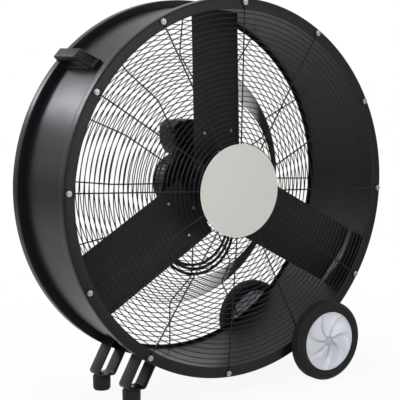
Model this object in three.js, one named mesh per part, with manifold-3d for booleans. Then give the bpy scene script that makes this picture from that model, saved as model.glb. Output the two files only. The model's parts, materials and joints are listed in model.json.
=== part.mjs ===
// A drum fan on two wheels and two rubber feet: rolled steel drum, wire guards,
// three-blade rotor on a motor carried by the rear guard, and its mains lead.
// Millimetres. +Z is up and the air leaves towards -Y. The origin is on the
// floor, under the middle of the drum.
import * as THREE from "three";
import { mergeVertices } from "three/addons/utils/BufferGeometryUtils.js";
import Module from "manifold-3d";

const wasm = await Module();
wasm.setup();

// ---- driving dimensions -------------------------------------------------
const CLEARANCE = 0.3; // between pieces that touch

const DRUM_LENGTH = 330;
const SHELL_RADIUS = 540;
const SHEET = 1.6; // drum sheet steel
const RIM_STAND = 23; // how far the rims stand out from the shell
const RIM_LIP = 11; // how far they reach inside it
const RIM_RADIUS = SHELL_RADIUS + RIM_STAND;
const RIM_INNER_RADIUS = SHELL_RADIUS - RIM_LIP;
const RIM_WIDTH = 33;
const RIM_BEND = 4;
const GROUND_GAP = 50.5; // under the rims
const AXIS_HEIGHT = RIM_RADIUS + GROUND_GAP; // drum axis above the floor
const DRUM_FACETS = 48;
const TURNED_FACETS = 16; // shafts, bearings and small turned pieces

const SCREW_INSET = 13; // guard screws, in from the edge of the rim
const SCREW_CIRCLE_RADIUS = RIM_RADIUS - SCREW_INSET;
const SPOKES = 12;
const SPOKE_TURN = -3.1; // degrees, the first spoke from +X
const WIRE_RADIUS = 1.8;
const EYE_RADIUS = 9; // the loop that ends each spoke
const EYE_HOLE_RADIUS = 4.5;
const EYE_FACETS = 5;
const FRONT_RING_PITCH = 31; // about every second ring of the real guard
const SMALL_RING_RADIUS = 290; // smaller rings are straight between spokes
const OUTER_RING_GAP = 10; // inside the rim
const OUTER_RING_RADIUS = RIM_INNER_RADIUS - OUTER_RING_GAP;
const CORE_RING_RADIUS = 50; // smallest ring of either guard
const FRONT_BULGE = 14; // how far the front guard stands out at the disc
const DISC_RADIUS = 138;
const DISC_SHEET = 1.6;
const DISC_CROWN = 6;
const DISC_FACETS = 28;

const REAR_BULGE_RADIUS = 396;
const REAR_BULGE = 12;
const REAR_WELL_RADIUS = 291;
const REAR_WELL_PLACE = 57; // Y of the spokes at the bottom of the well
const REAR_RING_PITCH = 45.3; // every third ring of the real guard

const PLATE_RADIUS = 86;
const PLATE_THICKNESS = 3;
const MOTOR_RADIUS = 88;
const MOTOR_WALL = 4;
const FRONT_BELL_LENGTH = 32;
const STATOR_SHELL_LENGTH = 70;
const REAR_BELL_LENGTH = 20;
const MOTOR_RIBS = 20;
const BELL_FACETS = 16;
const MOTOR_RIB_DEPTH = 4;
const STATOR_INNER_RADIUS = 46.5;
const CORE_RADIUS = 45.5;
const CORE_LENGTH = 50;
const SHAFT_RADIUS = 10;
const BEARING_BORE_RADIUS = 10.5;
const BEARING_RADIUS = 23.5;
const BEARING_WIDTH = 14;
const BELL_FLOOR = 5;
const BELL_LIP = 2; // what holds a bearing in its bell
const SHAFT_HOLE_RADIUS = 14;
const SHAFT_NOSE_REACH = 6; // past the front of the hub

const ROTOR_PLACE = -76; // Y of the blades' middle
const BLADES = 3;
const BLADE_TURN = 91; // degrees, the first blade from +X
const BLADE_CHORD = 188;
const BLADE_PITCH = 11; // degrees
const BLADE_ROOT_RADIUS = 95;
const BLADE_TIP_GAP = 12; // to the shell
const BLADE_TIP_RADIUS = SHELL_RADIUS - BLADE_TIP_GAP;
const BLADE_SHEET = 2;
const BLADE_CAMBER_RADIUS = 620;
const ARM_WIDTH = 124;
const ARM_ROOT = 8; // inside the hub
const ARM_REACH = 182;
const ARM_SHEET = 4;
const HUB_RADIUS = 34;
const HUB_LENGTH = 46;

const BOX_HALF_WIDTH = 61;
const BOX_FRONT = 83; // Y
const BOX_DEPTH = 82;
const BOX_HEIGHT = 105;
const BOX_WALL = 2.5;
const BOX_TOP_CHAMFER = 19;
const BOX_FOOT_HALF_WIDTH = 40;
const BOX_FOOT_RISE = 36;
const KNOB_RADIUS = 19;
const KNOB_HEIGHT = 16;
const KNOB_SKIRT = 7;
const KNOB_GRIP_WIDTH = 7;
const SPINDLE_RADIUS = 3;
const SPINDLE_REACH = 11; // into the switch
const SWITCH_WIDTH = 30;
const SWITCH_DEPTH = 24;
const CAPACITOR_RADIUS = 16;
const CAPACITOR_LENGTH = 56;

const CORD_RADIUS = 4.5;
const LOOPS = 3;
const LOOP_STEPS = 24;
const LANE_STEP = 10.2; // between turns that lie side by side
const LAYER_STEP = 9.6; // between the layers of turns
const LOOP_LOW_X = 14; // centre of the hanging end of the loops
const LOOP_LOW_Z = -137;
const LOOP_LOW_RADIUS = 125;
const LOOP_SPREAD = 11; // how much lower each turn hangs than the one before
const STRAIN_LENGTH = 30;
const STRAIN_RADIUS = 9;
const STRAIN_FLANGE = 3;
const PLUG_BOOT = 20;
const PLUG_LENGTH = 52; // boot and head
const PLUG_HALF_WIDTH = 10;
const PIN_LENGTH = 17;
const TIE_WIDTH = 14;
const TIE_WALL = 1.5;

const HANDLE_TURN = 137;
const HANDLE_FRONT = -62; // Y
const HANDLE_LENGTH = 191;
const HANDLE_HEIGHT = 54;
const HANDLE_WIDTH = 34;
const HANDLE_BASE = 7; // thickness of the plate on the shell
const HANDLE_TOE = 12; // height of each end above the shell
const HANDLE_SLOPE = 55; // length of the sloping front leg along the drum
const HANDLE_BACK_SLOPE = 10;
const HANDLE_ROUND = 4;
const BLEND = 6; // reach of the handle's eased corners
const LEG_LEAN = 22; // how far the gap's foot lies before the crest
const GRIP_THICKNESS = 20;
const GRIP_LENGTH = 101; // of the straight part over the fingers
const POCKET_WALL = 4; // beside the screw pocket in the front leg
const POCKET_REACH = 40; // from the toe's face to the pocket's top

const LEG_X = -313;
const LEG_PLACES = { front: -80, rear: 101 }; // Y
const LEG_WIDTH = 58;
const LEG_SPAN = 52;
const LEG_STRAP = 4;
const LEG_BEND = 9;
const FOOT_RADIUS = 27;
const FOOT_HEIGHT = 45;
const FOOT_BOLT_RADIUS = 5;
const FOOT_BOLT_HEAD = 8.5;
const FOOT_BOLT_END = 20; // above the floor
const FOOT_FACETS = 12;

const AXLE_STAND = 43; // from the shell to the middle of the axle
const WHEEL_RADIUS = 123.5;
const TYRE_WIDTH = 46;
const TYRE_STAND = 57; // from the end of the drum to the tyre's outer side
const TYRE_OUTER_FACE = DRUM_LENGTH / 2 + TYRE_STAND;
const WHEEL_FACETS = 24;
const HUB_DISC_RADIUS = 92;
const HUB_RIM = 8;
const SWIRLS = 7;
const SWIRL_WIDTH = 9;
const SWIRL_SWEEP = 34; // degrees from boss to rim
const WEB_PLACE = 10; // behind the hub's outer face
const WEB_THICKNESS = 4;
const WHEEL_BOSS_RADIUS = 16;
const AXLE_RADIUS = 8;
const AXLE_BORE_RADIUS = 8.6;
const CAP_RADIUS = 13.5;
const CAP_RISE = 3; // past the tyre's outer face
const BRACKET_WIDTH = 50;
const BRACKET_RIM_GAP = 3;
const BRACKET_PLACE = DRUM_LENGTH / 2 - RIM_WIDTH - BRACKET_RIM_GAP - BRACKET_WIDTH / 2; // Y of its middle
const BRACKET_SHEET = 4;
const BRACKET_HALF_HEIGHT = 26;

// ---- materials ----------------------------------------------------------
const finish = (color, roughness, metalness) =>
  new THREE.MeshStandardMaterial({ color, roughness, metalness });
const BLACK_STEEL = finish(0x262527, 0.45, 0.3);
const BLACK_WIRE = finish(0x1f1f21, 0.4, 0.4);
const BLADE_STEEL = finish(0x2c292b, 0.5, 0.2);
const GREY_DISC = finish(0xc8c7c3, 0.45, 0);
const MOTOR_PAINT = finish(0x1c1c20, 0.5, 0.2);
const BRIGHT_STEEL = finish(0xb8babd, 0.3, 1);
const BLACK_PLASTIC = finish(0x1b1b1d, 0.55, 0);
const CORD_PVC = finish(0x161617, 0.6, 0);
const RUBBER = finish(0x1a1a1b, 0.9, 0);
const SILVER_PLASTIC = finish(0xd0d3d6, 0.35, 0.1);
const COPPER = finish(0xa86a3c, 0.4, 0.8);

// ---- helpers ------------------------------------------------------------
const fan = new THREE.Group();
const axis = new THREE.Group(); // the drum's own frame, on its axis
axis.position.z = AXIS_HEIGHT;
fan.add(axis);

const radians = THREE.MathUtils.degToRad;
const v2 = (x, y) => new THREE.Vector2(x, y);
const v3 = (x, y, z) => new THREE.Vector3(x, y, z);

function add(name, geometry, material, parent = axis) {
  const mesh = new THREE.Mesh(geometry, material);
  mesh.name = name;
  parent.add(mesh);
  return mesh;
}

// A closed geometry as a manifold solid, and back.
function solid(geometry) {
  const bare = new THREE.BufferGeometry();
  bare.setAttribute("position", geometry.getAttribute("position"));
  bare.setIndex(geometry.index);
  const merged = mergeVertices(bare, 1e-3);
  return new wasm.Manifold(
    new wasm.Mesh({
      numProp: 3,
      vertProperties: merged.attributes.position.array,
      triVerts: new Uint32Array(merged.index.array),
    }),
  );
}

function geometryOf(body) {
  const mesh = body.getMesh();
  const geometry = new THREE.BufferGeometry();
  const position = new THREE.BufferAttribute(mesh.vertProperties, 3);
  geometry.setAttribute("position", position);
  geometry.setIndex(new THREE.BufferAttribute(mesh.triVerts, 1));
  return geometry;
}

const join = (...parts) =>
  geometryOf(parts.map(solid).reduce((whole, part) => whole.add(part)));
const cut = (stock, ...tools) =>
  geometryOf(tools.map(solid).reduce((left, tool) => left.subtract(tool), solid(stock)));

// Turns a piece about the drum axis, from +X towards +Z.
const turned = (geometry, degrees) => geometry.clone().rotateY(-radians(degrees));

// A closed profile of [radius, y] pairs spun about the Y axis.
function spun(profile, facets) {
  const points = profile.map(([r, y]) => v2(r, y));
  if (THREE.ShapeUtils.area(points) < 0) points.reverse();
  const first = points.findIndex((p, i) => p.x === 0 && points.at(i - 1).x === 0);
  if (first < 0) return new THREE.LatheGeometry([...points, points[0]], facets);
  return new THREE.LatheGeometry([...points.slice(first), ...points.slice(0, first)], facets);
}

const tube = (outer, inner, from, to, facets) =>
  spun([[inner, from], [outer, from], [outer, to], [inner, to]], facets);
const rod = (radius, from, to, facets) =>
  spun([[0, from], [radius, from], [radius, to], [0, to]], facets);

// A block between two corners.
function block(low, high) {
  const size = low.map((value, i) => high[i] - value);
  const middle = low.map((value, i) => (high[i] + value) / 2);
  return new THREE.BoxGeometry(...size).translate(...middle);
}

// An outline of [x, z] pairs given thickness along Y.
function plate(outline, from, to, holes = []) {
  const shape = new THREE.Shape(outline.map(([x, z]) => v2(x, z)));
  shape.holes = holes.map((hole) => new THREE.Path(hole.map(([x, z]) => v2(x, z))));
  const depth = to - from;
  const geometry = new THREE.ExtrudeGeometry(shape, { depth, bevelEnabled: false });
  return geometry.rotateX(Math.PI / 2).translate(0, to, 0);
}

// The outline of a bent strip of one thickness, from its middle line.
function strip(middle, thickness) {
  const sides = middle.map((point, i) => {
    const before = middle[Math.max(i - 1, 0)];
    const after = middle[Math.min(i + 1, middle.length - 1)];
    const along = v2(after[0] - before[0], after[1] - before[1]).normalize();
    const across = v2(-along.y, along.x).multiplyScalar(thickness / 2);
    return [
      [point[0] + across.x, point[1] + across.y],
      [point[0] - across.x, point[1] - across.y],
    ];
  });
  return [...sides.map((s) => s[0]), ...sides.map((s) => s[1]).reverse()];
}

// Points on an arc, from one angle to another, in degrees.
function arc(x, z, radius, from, to, steps) {
  return Array.from({ length: steps + 1 }, (_, i) => {
    const angle = radians(from + ((to - from) * i) / steps);
    return [x + radius * Math.cos(angle), z + radius * Math.sin(angle)];
  });
}

// A path with a corner at each of its points, for straight and bent wire.
class Route extends THREE.Curve {
  constructor(points) {
    super();
    this.points = points;
  }
  getPoint(t, target = new THREE.Vector3()) {
    const place = Math.min(Math.max(t, 0), 1) * (this.points.length - 1);
    const index = Math.min(Math.floor(place), this.points.length - 2);
    return target.lerpVectors(this.points[index], this.points[index + 1], place - index);
  }
  getPointAt(t, target) {
    return this.getPoint(t, target);
  }
  getTangentAt(t, target = new THREE.Vector3()) {
    const place = Math.round(t * (this.points.length - 1));
    const before = this.points[Math.max(place - 1, 0)];
    const after = this.points[Math.min(place + 1, this.points.length - 1)];
    return target.subVectors(after, before).normalize();
  }
}

// A round wire or cord along a list of points.
function wire(points, radius, sides) {
  const circle = arc(0, 0, radius, 0, 360, sides).slice(1);
  const section = new THREE.Shape(circle.map(([x, y]) => v2(x, y)));
  const steps = points.length - 1;
  const extrudePath = new Route(points);
  return new THREE.ExtrudeGeometry(section, { steps, extrudePath, bevelEnabled: false });
}

// ---- drum ---------------------------------------------------------------
const HALF = DRUM_LENGTH / 2;

// A roll-formed rim: face, outer band and step, open towards the drum.
function rim(end) {
  const r = RIM_RADIUS;
  const t = SHEET;
  const profile = [
    [RIM_INNER_RADIUS, 0], [r - RIM_BEND, 0], [r, RIM_BEND], [r, RIM_WIDTH],
    [SHELL_RADIUS + CLEARANCE, RIM_WIDTH], [SHELL_RADIUS + CLEARANCE, RIM_WIDTH - t],
    [r - t, RIM_WIDTH - t], [r - t, RIM_BEND], [r - RIM_BEND, t], [RIM_INNER_RADIUS, t],
  ];
  return spun(profile.map(([radius, depth]) => [radius, end * (HALF - depth)]), DRUM_FACETS);
}

function drum() {
  const end = HALF - SHEET - CLEARANCE;
  add("drum_shell", tube(SHELL_RADIUS, SHELL_RADIUS - SHEET, -end, end, DRUM_FACETS), BLACK_STEEL);
  add("front_rim", rim(-1), BLACK_STEEL);
  add("rear_rim", rim(1), BLACK_STEEL);
}

// ---- guards -------------------------------------------------------------
// A wire guard of rings and spokes as one welded net of three-sided wires.
// path is the middle line of a spoke as [radius, y], from the screw circle
// inwards, and out is +1 or -1 along Y, the side that the flat of the wires
// faces.
const WIRE_FLAT = 0.7 * WIRE_RADIUS; // from the middle line to the flat
const WIRE_HALF_FLAT = 0.87 * WIRE_RADIUS;

function guard(path, out, pitch) {
  const net = { points: [], faces: [], turnedOver: out > 0 };
  const rings = ringPlaces(path, pitch).map((place) => netRing(net, place, out));
  const stub = stubEnds(net, path[0], out);
  rings.forEach((ring, k) => {
    ringSides(net, ring, k > 0 ? rings[k - 1] : stub, k === rings.length - 1);
  });
  for (let s = 0; s < stub.a.length; s += 2) {
    quad(net, stub.a[s], stub.c[s], stub.c[s + 1], stub.a[s + 1]);
  }
  const geometry = new THREE.BufferGeometry();
  geometry.setAttribute("position", new THREE.Float32BufferAttribute(net.points, 3));
  geometry.setIndex(net.faces);
  const [eyeRadius, eyeY] = path[0];
  const r = WIRE_RADIUS;
  const eye = tube(EYE_RADIUS, EYE_HOLE_RADIUS, eyeY - r, eyeY + r, EYE_FACETS);
  eye.translate(eyeRadius, 0, 0);
  const eyes = [];
  for (let i = 0; i < SPOKES; i++) eyes.push(turned(eye, SPOKE_TURN + (360 / SPOKES) * i));
  return join(geometry, ...eyes);
}

// The sides of a ring, open where a spoke joins it, and the spokes from there
// to the next ring or ends outwards.
function ringSides(net, ring, outer, innermost) {
  const { a, b, c, perSpoke } = ring;
  for (let s = 0; s < a.length; s++) {
    const next = (s + 1) % a.length;
    const crossing = s % perSpoke === 0;
    quad(net, a[s], b[s], b[next], a[next]);
    if (!crossing) quad(net, b[s], c[s], c[next], b[next]);
    if (!crossing || innermost) quad(net, c[s], a[s], a[next], c[next]);
    if (crossing) spokeSides(net, ring, s, outer, (s / perSpoke) * outer.perSpoke);
  }
}

// Where the rings lie: one at each bend of the spokes, and between the bends
// at even steps near the pitch.
function ringPlaces(path, pitch) {
  const places = [];
  const bends = path.map((p) => v2(...p));
  const inwards = bends[1].clone().sub(bends[0]);
  bends[0].add(inwards.setLength(SCREW_CIRCLE_RADIUS - OUTER_RING_RADIUS));
  for (let i = 0; i + 1 < bends.length; i++) {
    const step = bends[i + 1].clone().sub(bends[i]);
    const count = Math.round(step.length() / pitch);
    const before = (i > 0 ? bends[i].clone().sub(bends[i - 1]) : step.clone()).normalize();
    for (let j = 0; j < count; j++) {
      const along = step.clone().normalize();
      if (j === 0) along.add(before).normalize();
      places.push({ point: bends[i].clone().addScaledVector(step, j / count), along });
    }
  }
  const last = bends.at(-1);
  places.push({ point: last, along: last.clone().sub(bends.at(-2)).normalize() });
  return places;
}

// The corners of a three-sided ring at its stations: two at each spoke, and
// one half way to the next spoke where the ring is large. a is the corner
// towards the centre, b the one away from it and c the edge behind.
function netRing(net, { point, along }, out) {
  const normal = v2(-along.y, along.x).multiplyScalar(-out);
  const corner = (inward, outward) =>
    point.clone().addScaledVector(along, inward).addScaledVector(normal, outward);
  const corners = {
    a: corner(WIRE_HALF_FLAT, WIRE_FLAT),
    b: corner(-WIRE_HALF_FLAT, WIRE_FLAT),
    c: corner(0, -WIRE_RADIUS),
  };
  const perSpoke = point.x > SMALL_RING_RADIUS ? 3 : 2;
  const ring = { a: [], b: [], c: [], perSpoke };
  for (let i = 0; i < SPOKES; i++) {
    const angle = SPOKE_TURN + (360 / SPOKES) * i;
    for (const [key, p] of Object.entries(corners)) {
      const half = THREE.MathUtils.radToDeg(Math.asin(WIRE_RADIUS / p.x));
      ring[key].push(netPoint(net, p, angle - half), netPoint(net, p, angle + half));
      if (perSpoke === 3) ring[key].push(netPoint(net, p, angle + 180 / SPOKES));
    }
  }
  return ring;
}

// The outer ends of the spokes, inside the wire of their eyes.
function stubEnds(net, [eyeRadius, eyeY], out) {
  const radius = eyeRadius - (EYE_RADIUS + EYE_HOLE_RADIUS) / 2;
  const front = v2(radius, eyeY + out * WIRE_FLAT);
  const back = v2(radius, eyeY - out * WIRE_HALF_FLAT);
  const ends = { a: [], c: [], perSpoke: 2 };
  for (let i = 0; i < SPOKES; i++) {
    const angle = SPOKE_TURN + (360 / SPOKES) * i;
    const half = THREE.MathUtils.radToDeg(Math.asin(WIRE_RADIUS / radius));
    ends.a.push(netPoint(net, front, angle - half), netPoint(net, front, angle + half));
    ends.c.push(netPoint(net, back, angle - half), netPoint(net, back, angle + half));
  }
  return ends;
}

// The four sides of a spoke between a ring and the next ring or end outwards.
function spokeSides(net, ring, s, outer, o) {
  quad(net, ring.b[s], outer.a[o], outer.a[o + 1], ring.b[s + 1]);
  quad(net, ring.c[s], ring.c[s + 1], outer.c[o + 1], outer.c[o]);
  quad(net, ring.b[s], ring.c[s], outer.c[o], outer.a[o]);
  quad(net, ring.c[s + 1], ring.b[s + 1], outer.a[o + 1], outer.c[o + 1]);
}

function netPoint(net, point, degrees) {
  const angle = radians(degrees);
  net.points.push(point.x * Math.cos(angle), point.y, point.x * Math.sin(angle));
  return net.points.length / 3 - 1;
}

function quad(net, p, q, r, s) {
  if (net.turnedOver) net.faces.push(p, r, q, p, s, r);
  else net.faces.push(p, q, r, p, r, s);
}

const GUARD_SEAT = HALF + CLEARANCE + WIRE_RADIUS;
const DISC_Y = -GUARD_SEAT - FRONT_BULGE;

function frontGuard() {
  const slope = FRONT_BULGE / (SCREW_CIRCLE_RADIUS - DISC_RADIUS);
  const atRadius = (r) => -GUARD_SEAT - slope * (SCREW_CIRCLE_RADIUS - Math.max(r, DISC_RADIUS));
  const path = [
    [SCREW_CIRCLE_RADIUS, -GUARD_SEAT],
    [DISC_RADIUS, atRadius(DISC_RADIUS)],
    [CORE_RING_RADIUS, atRadius(DISC_RADIUS)],
  ];
  add("front_guard", guard(path, -1, FRONT_RING_PITCH), BLACK_WIRE);
  centreDisc(DISC_Y - WIRE_FLAT - CLEARANCE);
}

// A shallow crowned disc with a rolled edge, on the outside of the guard.
function centreDisc(edge) {
  const crown = (r) => edge - DISC_CROWN * (1 - 0.78 * (r / DISC_RADIUS) ** 2);
  const radii = [0, 0.35, 0.65, 0.95].map((share) => share * DISC_RADIUS);
  const face = radii.map((r) => [r, crown(r)]);
  const back = radii.slice(0, -1).map((r) => [r, crown(r) + DISC_SHEET]).reverse();
  const profile = [...face, [DISC_RADIUS, edge], [DISC_RADIUS - 6, edge], ...back];
  add("centre_disc", spun(profile, DISC_FACETS), GREY_DISC);
}

function rearGuard() {
  const path = [
    [SCREW_CIRCLE_RADIUS, GUARD_SEAT],
    [REAR_BULGE_RADIUS, GUARD_SEAT + REAR_BULGE],
    [REAR_WELL_RADIUS, REAR_WELL_PLACE],
    [CORE_RING_RADIUS, REAR_WELL_PLACE],
  ];
  add("rear_guard", guard(path, 1, REAR_RING_PITCH), BLACK_WIRE);
}

// ---- motor --------------------------------------------------------------
const PLATE_Y = REAR_WELL_PLACE + WIRE_FLAT + CLEARANCE;
const BELL_Y = PLATE_Y + PLATE_THICKNESS + CLEARANCE;
const STATOR_Y = BELL_Y + FRONT_BELL_LENGTH + CLEARANCE;
const REAR_BELL_Y = STATOR_Y + STATOR_SHELL_LENGTH + CLEARANCE;
const REAR_BELL_END = REAR_BELL_Y + REAR_BELL_LENGTH;
const FRONT_BEARING_Y = BELL_Y + BELL_LIP + CLEARANCE;
const REAR_BEARING_Y = REAR_BELL_END - BELL_LIP - BEARING_WIDTH - CLEARANCE;
const SHAFT_END = REAR_BEARING_Y + BEARING_WIDTH - 1;
const SHAFT_NOSE = ROTOR_PLACE - HUB_LENGTH / 2 - SHAFT_NOSE_REACH;

// An end bell: a cup with a bearing seat, its floor at y and its mouth at
// y + length, or the other way round where length is negative.
function bell(y, length, rimRadius) {
  const seat = BEARING_RADIUS + CLEARANCE;
  const depth = Math.abs(length);
  const seatDepth = BEARING_WIDTH + BELL_LIP;
  const inner = rimRadius - MOTOR_WALL;
  const profile = [
    [SHAFT_HOLE_RADIUS, 0], [rimRadius - BELL_FLOOR, 0], [rimRadius, BELL_FLOOR], [rimRadius, depth],
    [inner, depth], [inner, BELL_FLOOR], [seat + MOTOR_WALL, BELL_FLOOR], [seat + MOTOR_WALL, seatDepth],
    [seat, seatDepth], [seat, BELL_LIP], [SHAFT_HOLE_RADIUS, BELL_LIP],
  ];
  return spun(profile.map(([r, at]) => [r, y + Math.sign(length) * at]), BELL_FACETS);
}

function motor() {
  const plateTop = PLATE_Y + PLATE_THICKNESS;
  add("motor_plate", tube(PLATE_RADIUS, SHAFT_HOLE_RADIUS, PLATE_Y, plateTop, BELL_FACETS), BLACK_STEEL);
  add("motor_front_bell", bell(BELL_Y, FRONT_BELL_LENGTH, MOTOR_RADIUS), MOTOR_PAINT);
  add("motor_rear_bell", bell(REAR_BELL_END, -REAR_BELL_LENGTH, MOTOR_RADIUS - 2), MOTOR_PAINT);
  motorShell();
  const middle = STATOR_Y + STATOR_SHELL_LENGTH / 2;
  const from = middle - CORE_LENGTH / 2;
  const to = middle + CORE_LENGTH / 2;
  const fit = MOTOR_RADIUS - 2 * MOTOR_WALL - CLEARANCE;
  add("stator", tube(fit, STATOR_INNER_RADIUS, from, to, MOTOR_RIBS), COPPER);
  const race = (y) =>
    tube(BEARING_RADIUS, BEARING_BORE_RADIUS, y, y + BEARING_WIDTH, TURNED_FACETS);
  add("front_bearing", race(FRONT_BEARING_Y), BRIGHT_STEEL);
  add("rear_bearing", race(REAR_BEARING_Y), BRIGHT_STEEL);
  const coreBore = SHAFT_RADIUS + CLEARANCE;
  add("rotor_core", tube(CORE_RADIUS, coreBore, from, to, MOTOR_RIBS), BRIGHT_STEEL);
}

// The finned shell round the stator, between the two bells.
function motorShell() {
  const outline = [];
  for (let i = 0; i < MOTOR_RIBS; i++) {
    const step = 360 / MOTOR_RIBS;
    outline.push(...arc(0, 0, MOTOR_RADIUS, (i - 0.2) * step, (i + 0.2) * step, 1));
    outline.push(...arc(0, 0, MOTOR_RADIUS - MOTOR_RIB_DEPTH, (i + 0.3) * step, (i + 0.7) * step, 1));
  }
  const bore = arc(0, 0, MOTOR_RADIUS - 2 * MOTOR_WALL, 0, 360, MOTOR_RIBS).slice(1);
  const statorEnd = STATOR_Y + STATOR_SHELL_LENGTH;
  add("motor_shell", plate(outline, STATOR_Y, statorEnd, [bore]), MOTOR_PAINT);
}

// ---- rotor --------------------------------------------------------------
// A cambered sheet that lies along +X, its chord across Z, pitched about X.
// lift is how far it stands behind the blade's own sheet.
function camberedSheet(chord, from, to, lift, thickness) {
  const radius = BLADE_CAMBER_RADIUS - lift - thickness / 2;
  const half = THREE.MathUtils.radToDeg(chord / 2 / BLADE_CAMBER_RADIUS);
  const middle = arc(0, BLADE_CAMBER_RADIUS, radius, -90 - half, -90 + half, 8);
  const section = new THREE.Shape(strip(middle, thickness).map(([z, y]) => v2(z, y)));
  const depth = to - from;
  const sheet = new THREE.ExtrudeGeometry(section, { depth, bevelEnabled: false });
  // Section x becomes -Z, section y stays Y, and the extrusion runs along +X.
  sheet.rotateY(Math.PI / 2).translate(from, 0, 0);
  return sheet.rotateX(radians(BLADE_PITCH));
}

function rotor() {
  const tip = rod(BLADE_TIP_RADIUS, -BLADE_CHORD, BLADE_CHORD, 2 * DRUM_FACETS);
  const past = BLADE_TIP_RADIUS + BLADE_TIP_GAP;
  const sheet = camberedSheet(BLADE_CHORD, BLADE_ROOT_RADIUS, past, 0, BLADE_SHEET);
  const blade = geometryOf(solid(sheet).intersect(solid(tip))).translate(0, ROTOR_PLACE, 0);
  const lift = BLADE_SHEET + CLEARANCE;
  const arm = camberedSheet(ARM_WIDTH, ARM_ROOT, ARM_REACH, lift, ARM_SHEET);
  const boss = rod(HUB_RADIUS, -HUB_LENGTH / 2, HUB_LENGTH / 2, TURNED_FACETS);
  const bore = rod(SHAFT_RADIUS + CLEARANCE, -HUB_LENGTH, HUB_LENGTH, TURNED_FACETS);
  const arms = [];
  for (let i = 0; i < BLADES; i++) {
    const angle = BLADE_TURN + (360 / BLADES) * i;
    arms.push(turned(arm, angle));
    add("blade_" + (i + 1), turned(blade, angle), BLADE_STEEL);
  }
  const hub = cut(join(boss, ...arms), bore).translate(0, ROTOR_PLACE, 0);
  add("rotor_hub", hub, BLACK_STEEL);
  add("motor_shaft", rod(SHAFT_RADIUS, SHAFT_NOSE, SHAFT_END, TURNED_FACETS), BRIGHT_STEEL);
}

// ---- control box --------------------------------------------------------
const BOX_Z = MOTOR_RADIUS + CLEARANCE;
const BOX_BACK = BOX_FRONT + BOX_DEPTH;
const SPINDLE_Z = BOX_Z + BOX_HEIGHT * 0.55;

function boxOutline(inset) {
  const w = BOX_HALF_WIDTH - inset;
  const f = BOX_FOOT_HALF_WIDTH - inset * 0.5;
  const low = BOX_Z + inset;
  const high = BOX_Z + BOX_HEIGHT - inset;
  const side = BOX_Z + BOX_FOOT_RISE;
  const c = BOX_TOP_CHAMFER;
  return [
    [-f, low], [f, low], [w, side], [w, high - c],
    [w - c, high], [-w + c, high], [-w, high - c], [-w, side],
  ];
}

function controlBox() {
  const shell = plate(boxOutline(0), BOX_FRONT, BOX_BACK);
  const hollow = plate(boxOutline(BOX_WALL), BOX_FRONT + BOX_WALL, BOX_BACK + 1);
  add("control_box", cut(shell, hollow), BLACK_PLASTIC);
  const coverY = BOX_BACK + CLEARANCE;
  const coverBack = coverY + BOX_WALL;
  const spindleHole = arc(0, SPINDLE_Z, SPINDLE_RADIUS + 1, 0, 360, 12).slice(1);
  add("box_cover", plate(boxOutline(0), coverY, coverBack, [spindleHole]), BLACK_PLASTIC);
  const half = SWITCH_WIDTH / 2;
  const switchFront = BOX_BACK - SWITCH_DEPTH;
  const body = block([-half, switchFront, SPINDLE_Z - half], [half, BOX_BACK, SPINDLE_Z + half]);
  const socketFloor = BOX_BACK - SPINDLE_REACH - 1;
  const socket = rod(SPINDLE_RADIUS + 1, socketFloor, BOX_BACK + 1, 12).translate(0, 0, SPINDLE_Z);
  add("speed_switch", cut(body, socket), BLACK_PLASTIC);
  const canHalf = CAPACITOR_LENGTH / 2;
  const can = rod(CAPACITOR_RADIUS, -canHalf, canHalf, 12).rotateZ(Math.PI / 2);
  const canZ = BOX_Z + BOX_WALL + CLEARANCE + CAPACITOR_RADIUS;
  add("capacitor", can.translate(0, BOX_FRONT + BOX_DEPTH / 2, canZ), BRIGHT_STEEL);
  add("speed_knob", knob().translate(0, coverBack + CLEARANCE, SPINDLE_Z), BLACK_PLASTIC);
}

// A round skirt with a bar grip across it, and the spindle behind.
function knob() {
  const r = KNOB_RADIUS;
  const w = KNOB_GRIP_WIDTH / 2;
  const skirt = spun([[0, 0], [r, 0], [r - 2, KNOB_SKIRT], [0, KNOB_SKIRT]], 20);
  const grip = block([-w, 0, 2 - r], [w, KNOB_HEIGHT, r - 2]);
  return join(skirt, grip, rod(SPINDLE_RADIUS, -BOX_WALL - SPINDLE_REACH, KNOB_SKIRT / 2, 12));
}

// ---- mains lead ---------------------------------------------------------
// The loops hang over the motor's front bell: each turn is the outline round
// a small circle on the motor and a larger one at its hanging end.
const TOP_STEP = 16; // degrees, a little over one step of a turn round the motor
const LOOP_TOP_RADIUS = (MOTOR_RADIUS + CLEARANCE + CORD_RADIUS) / Math.cos(radians(TOP_STEP / 2));
const FIRST_LANE = BELL_Y + CORD_RADIUS + CLEARANCE;
const LOW_DISTANCE = Math.hypot(LOOP_LOW_X, LOOP_LOW_Z);
const LOW_ANGLE = THREE.MathUtils.radToDeg(Math.atan2(LOOP_LOW_Z, LOOP_LOW_X));
const LEAN = THREE.MathUtils.radToDeg(
  Math.acos((LOOP_TOP_RADIUS - LOOP_LOW_RADIUS) / LOW_DISTANCE),
);
const RIGHT_NORMAL = LOW_ANGLE + LEAN; // outward direction of the right-hand run
const LEFT_NORMAL = LOW_ANGLE - LEAN;
const outward = (degrees) => v3(Math.cos(radians(degrees)), 0, Math.sin(radians(degrees)));
const DOWN_RUN = outward(RIGHT_NORMAL - 90); // the way the right-hand run goes down
const LOW_CENTRE = v3(LOOP_LOW_X, 0, LOOP_LOW_Z);

// Lane and layer of each pass over the motor.
const LANES = [
  { y: FIRST_LANE + 2 * LANE_STEP, layer: 0 },
  { y: FIRST_LANE + LANE_STEP, layer: 0 },
  { y: FIRST_LANE, layer: 0 },
  { y: FIRST_LANE + LANE_STEP / 2, layer: 1 },
];

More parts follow.
